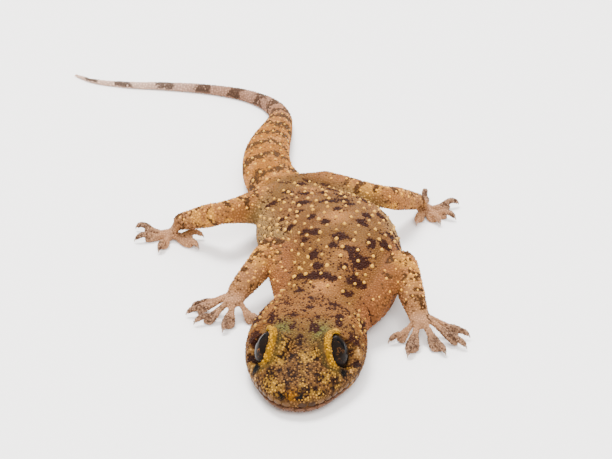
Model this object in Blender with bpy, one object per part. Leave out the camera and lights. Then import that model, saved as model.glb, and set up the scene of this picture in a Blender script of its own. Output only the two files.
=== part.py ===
"""A Mediterranean house gecko at life size, standing still and parted into its named lengths.

Run it with: blender --background --python part.py
The scene is in metres with +Z up. Sizes below are in millimetres and become metres where a mesh is made.
The gecko looks towards -Y, so its left side is at +X. The origin is on the floor, under the middle of
the whole animal. All that touches the floor is flat at z = 0.
"""

import math

import bmesh
import bpy
import numpy as np
from mathutils import Matrix, Vector

MM = 0.001
GAP = 0.3  # the clear cut between two neighbouring pieces

# The spine seen from above: waypoints from the snout tip to the tail tip, measured from the snout tip.
SNOUT_TIP = (4.6, -41.0)
SPINE_WAYPOINTS = (
    (0.1, 0.0),  # snout tip
    (0.85, 6.0),  # between the eyes
    (1.55, 12.1),  # back of the skull
    (2.6, 15.4),  # neck
    (3.8, 18.8),  # shoulders
    (4.25, 24.0),
    (3.6, 29.4),  # widest part of the belly
    (1.85, 34.4),
    (0.15, 39.7),  # hips
    (-1.5, 43.8),  # vent
    (-2.75, 48.2),  # thickest part of the tail
    (-3.05, 52.6),
    (-2.7, 57.6),
    (-2.0, 62.6),
    (-1.75, 66.4),
    (-2.7, 70.5),  # tail bend
    (-5.3, 73.9),
    (-9.2, 76.1),
    (-15.0, 77.6),
    (-20.0, 78.4),
    (-23.8, 79.9),
    (-25.9, 81.9),  # tail tip
)

# The trunk's sections, by the distance along the spine from the snout tip.
# Each row: distance, half width, belly height, height of the widest line, back height.
SECTIONS = (
    (0.00, 0.35, 1.10, 1.35, 1.60),
    (0.25, 1.15, 0.62, 1.32, 2.02),
    (0.60, 1.75, 0.42, 1.30, 2.32),
    (1.10, 2.30, 0.32, 1.32, 2.62),
    (1.80, 2.88, 0.26, 1.38, 2.95),
    (2.75, 3.45, 0.22, 1.48, 3.32),
    (3.70, 3.98, 0.20, 1.56, 3.68),
    (5.00, 4.58, 0.18, 1.68, 4.10),
    (6.50, 5.00, 0.18, 1.82, 4.50),
    (8.50, 5.28, 0.18, 2.00, 4.90),
    (11.00, 5.32, 0.20, 2.20, 5.15),
    (13.00, 5.02, 0.22, 2.35, 5.15),
    (15.00, 4.62, 0.14, 2.50, 5.25),
    (17.00, 4.65, 0.00, 2.60, 5.75),
    (20.00, 5.25, -0.14, 2.75, 6.50),
    (24.00, 5.85, -0.20, 2.90, 7.05),
    (28.50, 6.20, -0.20, 2.75, 7.15),
    (33.00, 6.50, -0.20, 2.40, 6.60),
    (37.00, 5.55, -0.18, 2.25, 5.80),
    (41.00, 3.95, -0.14, 2.20, 4.95),
    (44.50, 2.95, -0.10, 2.05, 4.40),
    (48.00, 2.72, -0.10, 2.00, 4.20),
    (53.00, 2.55, -0.10, 1.90, 3.95),
    (58.00, 2.28, -0.10, 1.70, 3.55),
    (63.00, 1.85, -0.10, 1.42, 2.95),
    (67.00, 1.45, -0.08, 1.14, 2.40),
    (70.00, 1.16, -0.08, 0.94, 1.98),
    (74.00, 0.88, -0.06, 0.74, 1.56),
    (80.00, 0.68, -0.05, 0.58, 1.22),
    (87.00, 0.54, -0.04, 0.46, 0.98),
    (94.00, 0.40, -0.03, 0.34, 0.72),
    (101.00, 0.20, 0.00, 0.18, 0.40),
)
TAIL_TIP_AT = 101.0
BACK_POWER = 2.1  # 2 is an ellipse, and more is squarer
BELLY_POWER = 2.9

# Where the trunk is parted, by distance along the spine.
SKULL_ENDS = 13.6
NECK_ENDS = 16.2
TRUNK_ENDS = 44.0
TAIL_CUTS = (44.0, 56.0, 67.0, 82.0, TAIL_TIP_AT)

# Tubercles: pointed scales that stand above the grain of the back, in rows.
TUBERCLE_HEIGHT = 0.30
TUBERCLE_STEP = 1.15  # along the back, from row to row
TUBERCLE_SPREAD = 0.25  # share by which heights vary

EYE_BULGE = 1.1  # from the eye's centre outwards
EYE_RADIUS = 1.5
EYE_BACK = -0.3  # where the eye's flat back lies, from its centre, along the way it looks
EYE_FROM_SNOUT = 6.1
EYE_FROM_MIDLINE = {1: 2.75, -1: 3.05}  # left and right: the head is rolled a little to its right
EYE_HEIGHT = 3.4
EYE_TURN_FORWARD = 12.0  # degrees
EYE_TURN_UP = 24.0
SOCKET_RADII = (1.75, 2.05)  # at the socket's floor, and outside the head
SOCKET_OPENS = 2.2  # how far out the cut runs, from the eye's centre
BROW_SIZE = (2.1, 1.45, 1.85)  # the swelling over the eye: half length, half width, half height
BROW_FROM_MIDLINE = 1.9
BROW_HEIGHT = 3.2
LID_RING_RADIUS = 1.77
LID_THICKNESS = 0.3
LID_OUTWARD = 0.35  # from the eye's centre, along the way it looks
SNOUT_RIDGE_SIZE = (2.6, 0.62, 0.55)  # the blunt edge from the brow to the nostril
SNOUT_RIDGE_AT = (3.3, 1.75, 2.75)  # from the snout tip, from the midline, height

MOUTH_HEIGHT = 1.02  # at the snout tip
MOUTH_RISE = 0.04  # per millimetre backwards
MOUTH_CORNER_AT = 9.4
EAR_FROM_SNOUT = 12.0
EAR_HEIGHT = 2.7
EAR_SIZE = (0.55, 0.40, 0.75)  # half depth, half length, half height of the opening
NOSTRIL_AT = (0.42, 0.95, 1.78)  # from the snout tip, from the midline, height
NOSTRIL_RADIUS = 0.27

# Limb joints: x and y from the snout tip, and height. Left is the gecko's own left.
LIMBS = {
    "front_left": ((5.95, 14.9, 2.7), (9.9, 20.7, 4.8), (11.15, 16.0, 2.3)),
    "front_right": ((0.1, 17.7, 2.7), (-1.9, 24.1, 4.6), (-5.15, 19.95, 2.25)),
    "hind_left": ((2.95, 40.7, 3.3), (8.8, 36.9, 4.35), (12.5, 42.0, 1.6)),
    "hind_right": ((-1.9, 38.2, 3.0), (-7.0, 33.4, 4.2), (-11.5, 36.6, 1.75)),
}
UPPER_RADII = {"front": (1.95, 1.7, 1.42, 1.26), "hind": (2.25, 1.8, 1.38, 1.12)}
LOWER_RADII = {"front": (1.36, 1.34, 1.24, 1.06), "hind": (1.12, 1.16, 1.0, 0.82)}

# Feet: the middle of the palm, each toe's direction in degrees anticlockwise from +X, from the first toe
# to the fifth, and each toe's length from its root to the end of its pad.
FEET = {
    "front_left": ((11.45, 14.95), (-150, -106, -62, -40, -16), (1.85, 3.15, 3.1, 3.55, 2.95)),
    "front_right": ((-5.6, 19.1), (-43, -107, -153, -175, 168), (2.0, 2.5, 2.75, 2.8, 2.35)),
    "hind_left": ((12.95, 42.55), (-103, -64, -31, 26, 84), (2.4, 2.6, 2.7, 3.1, 3.6)),
    "hind_right": ((-12.3, 36.5), (-4, -46, -105, -163, 152), (2.2, 3.1, 2.8, 2.6, 3.0)),
}
PALM_RADIUS = {"front": 0.98, "hind": 1.2}
PALM_HEIGHT = 1.05
PALM_LIFT = {"front": 1.25, "hind": 0.0}  # the palm's underside stands this high above the floor
LIFT_ENDS = (0.8, 0.8, 0.8, 1.05, 1.05)  # share of each toe's length by which it has come down to the floor
TOE_ROOTS = {  # where each toe starts, from the middle of the palm: outwards and backwards
    "front": ((-0.4, 0.0), (-0.15, -0.1), (0.15, -0.1), (0.5, 0.45), (0.6, 0.75)),
    "hind": ((0.0, 0.0),) * 5,
}
TOE_HALF_WIDTH = {"front": (0.37, 0.42, 0.42, 0.34, 0.32), "hind": (0.34,) * 5}
CLAW_JOINT_RADIUS = 0.29
# The last bone of a toe, from its root on top of the pad to the claw's tip:
# distance past the pad's end, height, and share of the bone's radius.
LAST_BONE = (
    (-0.95, 0.42, 1.0),
    (-0.35, 0.76, 1.05),
    (0.15, 0.88, 1.05),
    (0.6, 0.76, 0.95),
    (0.9, 0.52, 0.85),
    (1.1, 0.3, 0.55),
    (1.2, 0.12, 0.16),
)
# A toe seen along its length: share of the length, width in half toe widths, lowest and highest point.
TOE_FORM = (
    (0.05, 1.0, 0.25, 0.95),
    (0.38, 1.0, 0.05, 0.85),
    (0.55, 1.25, -0.06, 0.74),
    (0.72, 1.7, -0.06, 0.72),
    (0.88, 1.75, -0.06, 0.66),
    (0.97, 1.3, -0.06, 0.5),
    (1.0, 0.6, 0.04, 0.32),
)

FLESH = {
    "head": "C39A5C",
    "lower_jaw": "C9A184",
    "neck": "BC9068",
    "torso": "B58E6C",
    "tail": "C79A68",
    "limb": "C28F5C",
    "foot": "B08A6A",
    "eye": "241E1C",
}


def through(knots, values, at):
    """The smooth curve that takes these values at these knots, read at the places in at."""
    knots = np.asarray(knots, float)
    values = np.asarray(values, float)
    slopes = np.gradient(values, knots, axis=0)
    at = np.clip(np.asarray(at, float), knots[0], knots[-1])
    low = np.clip(np.searchsorted(knots, at, side="right") - 1, 0, len(knots) - 2)
    width = knots[low + 1] - knots[low]
    t = (at - knots[low]) / width
    if values.ndim > 1:
        t = t[..., None]
        width = width[..., None]
    stay = 2 * t**3 - 3 * t**2 + 1
    leave = (t**3 - 2 * t**2 + t) * width
    arrive = (t**3 - t**2) * width
    return stay * values[low] + leave * slopes[low] + (1 - stay) * values[low + 1] + arrive * slopes[low + 1]


def spine_table():
    """Distance along the spine and the point there, finely sampled."""
    points = np.array(SPINE_WAYPOINTS) + np.array(SNOUT_TIP)
    chords = np.concatenate([[0], np.cumsum(np.linalg.norm(np.diff(points, axis=0), axis=1))])
    fine = through(chords, points, np.linspace(0, chords[-1], 800))
    along = np.concatenate([[0], np.cumsum(np.linalg.norm(np.diff(fine, axis=0), axis=1))])
    return along * TAIL_TIP_AT / along[-1], fine


SPINE_ALONG, SPINE_POINTS = spine_table()


def spine_at(distance):
    """The spine's point and its unit vector to the gecko's left, for each distance from the snout tip."""
    distance = np.atleast_1d(np.asarray(distance, float))

    def point(where):
        return np.stack([np.interp(where, SPINE_ALONG, SPINE_POINTS[:, k]) for k in (0, 1)], axis=-1)

    ahead = point(np.minimum(distance + 0.5, TAIL_TIP_AT))
    behind = point(np.maximum(distance - 0.5, 0))
    backwards = ahead - behind
    backwards /= np.linalg.norm(backwards, axis=1)[:, None]
    left = np.stack([backwards[:, 1], -backwards[:, 0]], axis=-1)
    return point(distance), left


def head_point(from_snout, to_left, height):
    """A point given by its distance behind the snout tip, its distance to the left, and its height."""
    centre, left = spine_at(from_snout)
    flat = centre[0] + to_left * left[0]
    return Vector((flat[0], flat[1], height))


def section_rings(distances, sides, grow=0.0):
    """Rings of the trunk at these distances: a rounded back, a flatter belly, and nothing below the floor."""
    table = np.array(SECTIONS)
    half, belly, widest, back = through(table[:, 0], table[:, 1:], distances).T
    angles = np.linspace(0, 2 * math.pi, sides, endpoint=False)
    across = np.cos(angles)[None, :]
    upward = np.sin(angles)[None, :]
    power = np.where(upward > 0, BACK_POWER, BELLY_POWER)
    out = np.sign(across) * np.abs(across) ** (2 / power)
    rise = np.abs(upward) ** (2 / power)
    height = np.where(
        upward > 0,
        widest[:, None] + (back - widest + grow)[:, None] * rise,
        widest[:, None] - (widest - belly + grow)[:, None] * rise,
    )
    if not grow:
        height = np.maximum(height, 0)
    centre, left = spine_at(distances)
    flat = centre[:, None, :] + ((half + grow)[:, None] * out)[:, :, None] * left[:, None, :]
    return np.concatenate([flat, height[:, :, None]], axis=2)


def raise_tubercles(rings, rows, height, rng):
    """Lifts every other point of the chosen rings, along the ring's own outward way, as staggered studs."""
    sides = rings.shape[1]
    for turn, row in enumerate(rows):
        middle = rings[row].mean(axis=0)
        for side in range(turn % 2, sides, 2):
            angle = 360 * side / sides
            if not 12 < angle < 168:
                continue
            outward = rings[row, side] - middle
            outward /= np.linalg.norm(outward)
            lift = height * (1 + TUBERCLE_SPREAD * (2 * rng.random() - 1))
            rings[row, side] += outward * lift


def material(name, hex_colour, roughness=0.55):
    """A plain finish of this sRGB colour."""
    made = bpy.data.materials.new(name)
    made.use_nodes = True
    shader = made.node_tree.nodes["Principled BSDF"]
    srgb = [int(hex_colour[k : k + 2], 16) / 255 for k in (0, 2, 4)]
    linear = [c / 12.92 if c <= 0.04045 else ((c + 0.055) / 1.055) ** 2.4 for c in srgb]
    shader.inputs["Base Color"].default_value = (*linear, 1)
    shader.inputs["Roughness"].default_value = roughness
    return made


def add_mesh(name, points, faces, collection):
    """A mesh object from points in millimetres, with its faces turned outwards."""
    mesh = bpy.data.meshes.new(name)
    mesh.from_pydata([tuple(p) for p in np.asarray(points, float) * MM], [], faces)
    body = bmesh.new()
    body.from_mesh(mesh)
    bmesh.ops.recalc_face_normals(body, faces=body.faces)
    body.to_mesh(mesh)
    body.free()
    made = bpy.data.objects.new(name, mesh)
    collection.objects.link(made)
    return made


def loft(name, rings, collection):
    """One closed body that runs through these rings, with a face over each end."""
    count, sides = rings.shape[:2]
    faces = []
    for row in range(count - 1):
        for side in range(sides):
            after = (side + 1) % sides
            low, high = row * sides, (row + 1) * sides
            faces.append((low + side, low + after, high + after, high + side))
    faces.append(tuple(range(sides)))
    faces.append(tuple(range((count - 1) * sides, count * sides)))
    return add_mesh(name, rings.reshape(-1, 3), faces, collection)


def apply_modifiers(body):
    """The object's evaluated mesh takes the place of its own, and its modifiers go."""
    graph = bpy.context.evaluated_depsgraph_get()
    made = bpy.data.meshes.new_from_object(body.evaluated_get(graph))
    body.modifiers.clear()
    body.data = made


def keep_largest(body):
    """Drops the loose scraps and sealed hollows that a cut or a union can leave."""
    shape = bmesh.new()
    shape.from_mesh(body.data)
    left = set(shape.verts)
    groups = []
    while left:
        start = left.pop()
        group = {start}
        border = [start]
        while border:
            for edge in border.pop().link_edges:
                for vert in edge.verts:
                    if vert in left:
                        left.discard(vert)
                        group.add(vert)
                        border.append(vert)
        groups.append(group)
    groups.sort(key=len)
    for group in groups[:-1]:
        bmesh.ops.delete(shape, geom=list(group), context="VERTS")
    shape.to_mesh(body.data)
    shape.free()


def boolean(body, others, operation):
    """Joins or cuts the body with all the other meshes at once, then removes them."""
    group = bpy.data.collections.new(body.name + "_" + operation.lower())
    bpy.context.scene.collection.children.link(group)
    for other in others:
        for home in list(other.users_collection):
            home.objects.unlink(other)
        group.objects.link(other)
    made = body.modifiers.new(operation.lower(), "BOOLEAN")
    made.operation = operation
    made.operand_type = "COLLECTION"
    made.collection = group
    made.solver = "MANIFOLD"
    bpy.context.view_layer.update()
    apply_modifiers(body)
    for other in others:
        bpy.data.objects.remove(other)
    bpy.data.collections.remove(group)
    keep_largest(body)


def ball(name, centre, radii, turn, collection, segments=20, rings=12):
    """A closed ellipsoid with these half sizes, turned by a rotation matrix and put at the centre."""
    shape = bmesh.new()
    bmesh.ops.create_uvsphere(shape, u_segments=segments, v_segments=rings, radius=1)
    scale = Matrix.Diagonal((*(r * MM for r in radii), 1))
    bmesh.ops.transform(shape, matrix=Matrix.Translation(centre * MM) @ turn.to_4x4() @ scale, verts=shape.verts)
    mesh = bpy.data.meshes.new(name)
    shape.to_mesh(mesh)
    shape.free()
    made = bpy.data.objects.new(name, mesh)
    collection.objects.link(made)
    return made


def cut_by_plane(body, point, normal):
    """Keeps what lies on the normal's side of the plane, and closes the cut."""
    shape = bmesh.new()
    shape.from_mesh(body.data)
    geometry = list(shape.verts) + list(shape.edges) + list(shape.faces)
    bmesh.ops.bisect_plane(
        shape, geom=geometry, dist=1e-7, plane_co=Vector(point) * MM, plane_no=-Vector(normal), clear_outer=True
    )
    open_edges = [edge for edge in shape.edges if edge.is_boundary]
    bmesh.ops.contextual_create(shape, geom=open_edges)
    bmesh.ops.recalc_face_normals(shape, faces=shape.faces)
    shape.to_mesh(body.data)
    shape.free()


def finish(body, colour, roughness=0.55):
    """Gives a node its own finish and a smooth look with sharp cut edges."""
    body.data.materials.clear()
    body.data.materials.append(material(body.name + "_finish", colour, roughness))
    body.data.shade_smooth()
    body.data.set_sharp_from_angle(angle=math.radians(50))


def trunk_piece(name, start, end, step, sides, collection, studs=0.0, seed=1):
    """A length of the trunk or tail as one closed loft, studded with tubercles every other ring."""
    count = 2 * max(2, round((end - start) / step)) + 1
    distances = np.linspace(start, end, count)
    rings = section_rings(distances, sides)
    if studs:
        raise_tubercles(rings, range(1, count - 1, 2), studs, np.random.default_rng(seed))
    return loft(name, rings, collection)


def skull_distances():
    """Ring places along the head, close together at the blunt snout and even behind it."""
    return np.concatenate([[0.0, 0.12, 0.3, 0.6, 1.0, 1.5, 2.1], np.linspace(2.8, SKULL_ENDS - GAP / 2, 17)])


def eye_turn(side):
    """The rotation that takes +Z to the way the eye looks; side is 1 on the left and -1 on the right."""
    _, left = spine_at(EYE_FROM_SNOUT)
    outward = Vector((*left[0], 0)) * side
    forward = Vector((left[0][1], -left[0][0], 0))
    if forward.y > 0:
        forward = -forward
    up = math.radians(EYE_TURN_UP)
    ahead = math.radians(EYE_TURN_FORWARD)
    look = outward * math.cos(up) * math.cos(ahead) + forward * math.sin(ahead) * math.cos(up)
    look += Vector((0, 0, math.sin(up)))
    return look.to_track_quat("Z", "Y").to_matrix(), look.normalized()


def eye_centre(side):
    return head_point(EYE_FROM_SNOUT, side * EYE_FROM_MIDLINE[side], EYE_HEIGHT)


def eye_cap(name, side, collection):
    """The outer part of a flattened ball round the eye's centre, flat at its back."""
    turn, look = eye_turn(side)
    cap = ball(name, eye_centre(side), (EYE_RADIUS, EYE_RADIUS, EYE_BULGE), turn, collection)
    cut_by_plane(cap, eye_centre(side) + look * EYE_BACK, look)
    return cap


def socket_cutter(side, collection):
    """A widening round hole, from just behind the eye's flat back to outside the head."""
    turn, look = eye_turn(side)
    start = EYE_BACK - GAP
    shape = bmesh.new()
    bmesh.ops.create_cone(
        shape,
        cap_ends=True,
        segments=26,
        radius1=SOCKET_RADII[0] * MM,
        radius2=SOCKET_RADII[1] * MM,
        depth=(SOCKET_OPENS - start) * MM,
    )
    middle = eye_centre(side) + look * (SOCKET_OPENS + start) / 2
    bmesh.ops.transform(shape, matrix=Matrix.Translation(middle * MM) @ turn.to_4x4(), verts=shape.verts)
    mesh = bpy.data.meshes.new("socket")
    shape.to_mesh(mesh)
    shape.free()
    made = bpy.data.objects.new("socket", mesh)
    collection.objects.link(made)
    return made


def lid_ring(name, side, collection):
    """The raised rim of scales round the eye."""
    turn, look = eye_turn(side)
    centre = eye_centre(side) + look * LID_OUTWARD
    steps, round_steps = 22, 8
    around = np.linspace(0, 2 * math.pi, steps, endpoint=False)[:, None]
    across = np.linspace(0, 2 * math.pi, round_steps, endpoint=False)[None, :]
    reach = LID_RING_RADIUS + LID_THICKNESS * np.cos(across)
    lift = LID_THICKNESS * np.sin(across) + 0 * around
    points = np.stack([reach * np.cos(around), reach * np.sin(around), lift], axis=-1).reshape(-1, 3)
    points = points @ np.array(turn).T + np.array(centre)
    faces = []
    for i in range(steps):
        for j in range(round_steps):
            here, there = i * round_steps, (i + 1) % steps * round_steps
            after = (j + 1) % round_steps
            faces.append((here + j, here + after, there + after, there + j))
    return add_mesh(name, points, faces, collection)


def along_head(ahead_tilt=0.0):
    """The rotation that takes +X to the way the head points and +Y to its right, tilted nose down."""
    _, left = spine_at(EYE_FROM_SNOUT)
    forward = Vector((left[0][1], -left[0][0], 0))
    tilt = math.radians(ahead_tilt)
    ahead = forward * math.cos(tilt) - Vector((0, 0, 1)) * math.sin(tilt)
    right = ahead.cross(Vector((0, 0, 1))).normalized()
    up = right.cross(ahead)
    return Matrix((ahead, -right, up)).transposed()


def jaw_wedge(name, inset, collection):
    """The prism below the mouth line and ahead of the jaw's hinge, drawn in by inset on both faces."""
    back = MOUTH_CORNER_AT - inset
    outline = []
    for distance in (-3.0, back, back + 1.2):
        height = MOUTH_HEIGHT + MOUTH_RISE * distance - inset if distance <= back else -2.0
        outline.append((distance, height))
    outline.append((-3.0, -2.0))
    centre, left = spine_at(EYE_FROM_SNOUT)
    backwards = np.array([-left[0][1], left[0][0]])
    points = []
    for to_left in (-8.0, 8.0):
        for distance, height in outline:
            flat = centre[0] + (distance - EYE_FROM_SNOUT) * backwards + to_left * left[0]
            points.append((flat[0], flat[1], height))
    faces = [(0, 1, 2, 3), (4, 5, 6, 7)] + [(k, (k + 1) % 4, 4 + (k + 1) % 4, 4 + k) for k in range(4)]
    return add_mesh(name, points, faces, collection)


def make_head(collection):
    """Skull with brows, lid rims, eye sockets, ear openings and nostrils, and the lower jaw cut from it."""
    rings = section_rings(skull_distances(), 36)
    raise_tubercles(rings, range(14, 23, 2), TUBERCLE_HEIGHT * 0.6, np.random.default_rng(7))
    head = loft("head", rings, collection)
    added, hollows = [], []
    for side in (1, -1):
        brow = head_point(EYE_FROM_SNOUT, side * BROW_FROM_MIDLINE, BROW_HEIGHT)
        added.append(ball("brow", brow, BROW_SIZE, along_head(), collection, 24, 14))
        ridge = head_point(SNOUT_RIDGE_AT[0], side * SNOUT_RIDGE_AT[1], SNOUT_RIDGE_AT[2])
        added.append(ball("snout_ridge", ridge, SNOUT_RIDGE_SIZE, along_head(22), collection, 12, 8))
        added.append(lid_ring("lid", side, collection))
        hollows.append(socket_cutter(side, collection))
        ear = head_point(EAR_FROM_SNOUT, side * 4.85, EAR_HEIGHT)
        hollows.append(ball("ear", ear, EAR_SIZE, Matrix.Identity(3), collection, 12, 8))
        nose = head_point(NOSTRIL_AT[0], side * NOSTRIL_AT[1], NOSTRIL_AT[2])
        hollows.append(ball("nostril", nose, (NOSTRIL_RADIUS,) * 3, Matrix.Identity(3), collection, 10, 6))
    boolean(head, added, "UNION")
    boolean(head, hollows, "DIFFERENCE")
    jaw = head.copy()
    jaw.data = head.data.copy()
    jaw.name = "lower_jaw"
    collection.objects.link(jaw)
    boolean(jaw, [jaw_wedge("jaw_wedge", GAP / 2, collection)], "INTERSECT")
    boolean(head, [jaw_wedge("mouth_wedge", -GAP / 2, collection)], "DIFFERENCE")
    finish(head, FLESH["head"])
    finish(jaw, FLESH["lower_jaw"])


def make_eyes(collection):
    """Each eye is one clear cap in its socket, as a gecko's eye has no lid that moves."""
    for side, name in ((1, "eye_left"), (-1, "eye_right")):
        finish(eye_cap(name, side, collection), FLESH["eye"], 0.1)


def make_trunk(collection):
    """Neck, torso and the four lengths of the tail."""
    half = GAP / 2
    neck = trunk_piece("neck", SKULL_ENDS + half, NECK_ENDS - half, 1.1, 36, collection, TUBERCLE_HEIGHT * 0.8, 2)
    finish(neck, FLESH["neck"])
    torso = trunk_piece(
        "torso", NECK_ENDS + half, TRUNK_ENDS - half, TUBERCLE_STEP, 40, collection, TUBERCLE_HEIGHT, 3
    )
    finish(torso, FLESH["torso"])
    sides = (18, 16, 12, 10)
    steps = (1.3, 1.6, 2.4, 3.0)
    studs = (TUBERCLE_HEIGHT * 0.8, TUBERCLE_HEIGHT * 0.5, 0.0, 0.0)
    for number in range(4):
        start = TAIL_CUTS[number] + half
        end = TAIL_CUTS[number + 1] - (half if number < 3 else 0)
        name = "tail_%d" % (number + 1)
        piece = trunk_piece(name, start, end, steps[number], sides[number], collection, studs[number], 10 + number)
        finish(piece, FLESH["tail"])


def on_floor(point):
    """A point given from the snout tip, put in the shared frame."""
    return np.array([point[0] + SNOUT_TIP[0], point[1] + SNOUT_TIP[1], point[2]])


def limb_rings(start, end, radii, sides=12):
    """Rings of a limb bone's flesh from start to end, with a round end past each joint."""
    start, end = np.array(start, float), np.array(end, float)
    length = np.linalg.norm(end - start)
    along = (end - start) / length
    across = np.cross(along, (0, 0, 1))
    across /= np.linalg.norm(across)
    upward = np.cross(across, along)
    places, sizes = [], []
    for tilt in (80, 50, 22):
        places.append(-radii[0] * math.sin(math.radians(tilt)))
        sizes.append(radii[0] * math.cos(math.radians(tilt)))
    for k, radius in enumerate(radii):
        places.append(length * k / (len(radii) - 1))
        sizes.append(radius)
    for tilt in (22, 50, 80):
        places.append(length + radii[-1] * math.sin(math.radians(tilt)))
        sizes.append(radii[-1] * math.cos(math.radians(tilt)))
    angles = np.linspace(0, 2 * math.pi, sides, endpoint=False)
    spokes = np.cos(angles)[:, None] * across + np.sin(angles)[:, None] * upward
    rings = [start + place * along + size * spokes for place, size in zip(places, sizes)]
    return np.array(rings)


def make_limb(name, collection):
    """Upper and lower length of one leg, parted by a thin cut across the bend of the joint."""
    kind = name.split("_")[0]
    root, bend, end = (on_floor(point) for point in LIMBS[name])
    upper_name, lower_name = ("_upper_arm", "_forearm") if kind == "front" else ("_thigh", "_shank")
    upper = loft(name + upper_name, limb_rings(root, bend, UPPER_RADII[kind]), collection)
    lower = loft(name + lower_name, limb_rings(bend, end, LOWER_RADII[kind]), collection)
    to_root = (root - bend) / np.linalg.norm(root - bend)
    to_end = (end - bend) / np.linalg.norm(end - bend)
    normal = to_root - to_end
    normal /= np.linalg.norm(normal)
    cut_by_plane(upper, bend + normal * GAP / 2, normal)
    cut_by_plane(lower, bend - normal * GAP / 2, -normal)
    cut_by_plane(lower, end - to_end * GAP / 2, -to_end)
    trunk = loft("trunk_cutter", section_rings(np.linspace(5, 52, 60), 48, GAP), collection)
    boolean(upper, [trunk], "DIFFERENCE")
    trunk = loft("trunk_cutter", section_rings(np.linspace(5, 52, 60), 48, GAP), collection)
    boolean(lower, [trunk], "DIFFERENCE")
    finish(upper, FLESH["limb"])
    finish(lower, FLESH["limb"])
    return end, to_end


def flat_ring(centre, across, upward, half_width, half_height, sides):
    """An oval ring whose lowest part lies flat on the floor where it would go below it."""
    angles = np.linspace(0, 2 * math.pi, sides, endpoint=False)
    ring = centre + np.cos(angles)[:, None] * across * half_width + np.sin(angles)[:, None] * upward * half_height
    ring[:, 2] = np.maximum(ring[:, 2], 0)
    return ring


def toe_lift(kind, number, share):
    """How much higher a raised palm holds a toe: all of the palm's lift at its root, and then ever less."""
    return PALM_LIFT[kind] * (1 - min(share / LIFT_ENDS[number], 1) ** 1.6)


def toe_parts(name, number, palm, degrees, length, collection):
    """The toe, which comes down from the palm to its broad pad, and the last bone with its claw."""
    kind, side = name.split("_")[:2]
    outwards, backwards = TOE_ROOTS[kind][number]
    root = palm + np.array([outwards if side == "left" else -outwards, backwards, 0])
    heading = np.array([math.cos(math.radians(degrees)), math.sin(math.radians(degrees)), 0])
    across = np.array([-heading[1], heading[0], 0])
    up = np.array([0, 0, 1.0])
    pad_rings = []
    for share, width, low, high in TOE_FORM:
        centre = root + heading * length * share + up * ((low + high) / 2 + toe_lift(kind, number, share))
        half_width = TOE_HALF_WIDTH[kind][number] * width
        pad_rings.append(flat_ring(centre, across, up, half_width, (high - low) / 2, 8))
    bone_rings = []
    for ahead, height, share in LAST_BONE:
        radius = CLAW_JOINT_RADIUS * share
        centre = root + heading * (length + ahead)
        centre += up * (height + toe_lift(kind, number, 1 + ahead / length))
        lean = math.atan2(ahead, 1.0) if ahead > 0 else 0
        spoke = up * math.cos(lean) + heading * math.sin(lean)
        bone_rings.append(flat_ring(centre, across, spoke, radius, radius, 6))
    pad = loft(name + "_pad", np.array(pad_rings), collection)
    return [pad, loft(name + "_bone", np.array(bone_rings), collection)]


def make_foot(name, end, to_end, collection):
    """The palm and its five toes, joined into one piece."""
    kind = name.split("_")[0]
    palm_at, directions, lengths = FEET[name]
    palm = on_floor((*palm_at, 0.0))
    radius = PALM_RADIUS[kind]
    wrist_radius = LOWER_RADII[kind][-1]
    across = np.cross(to_end, (0, 0, 1))
    across /= np.linalg.norm(across)
    upward = np.cross(across, to_end)
    wrist = end + to_end * GAP / 2
    flat_way = np.array([palm[0] - end[0], palm[1] - end[1], 0])
    flat_way /= np.linalg.norm(flat_way)
    flat_across = np.cross(flat_way, (0, 0, 1))
    up = np.array([0, 0, 1.0])
    middle = np.array([palm[0], palm[1], PALM_HEIGHT / 2 + PALM_LIFT[kind]])
    half = PALM_HEIGHT / 2
    half_way = upward + up
    half_way /= np.linalg.norm(half_way)
    rings = [
        flat_ring(wrist, across, upward, wrist_radius, wrist_radius, 12),
        flat_ring(wrist * 0.55 + middle * 0.45, flat_across, half_way, radius * 0.97, half * 1.4, 12),
        flat_ring(middle, flat_across, up, radius, half * 1.05, 12),
        flat_ring(middle + flat_way * radius * 0.6, flat_across, up, radius * 0.8, half * 0.9, 12),
        flat_ring(middle + flat_way * radius * 0.95, flat_across, up, radius * 0.4, half * 0.6, 12),
    ]
    node_name = name + ("_hand" if kind == "front" else "_foot")
    foot = loft(node_name, np.array(rings), collection)
    toes = []
    for number, (degrees, length) in enumerate(zip(directions, lengths)):
        toes += toe_parts("%s_toe_%d" % (name, number + 1), number, palm, degrees, length, collection)
    boolean(foot, toes, "UNION")
    finish(foot, FLESH["foot"])


def main():
    for old in list(bpy.data.objects):
        bpy.data.objects.remove(old)
    collection = bpy.data.collections.new("mediterranean_house_gecko")
    bpy.context.scene.collection.children.link(collection)
    make_head(collection)
    make_eyes(collection)
    make_trunk(collection)
    for name in LIMBS:
        end, to_end = make_limb(name, collection)
        make_foot(name, end, to_end, collection)


main()
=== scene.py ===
# %% [markdown]
# # A Mediterranean house gecko, life size
#
# The solids give this gecko its parted lengths. This script gives it one whole skin over them, and on the
# skin what the real animal has: thousands of small bead-like scales, rows of pale pointed tubercles, plates
# along the lips, dark glossy eyes with upright pupils, and small curved claws. The surfaces are worked out
# with numpy as whole grids of points, because an animal's form is easier to give as a few measured sections
# with a formula between them than as boxes to push about by hand.

import math

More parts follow.
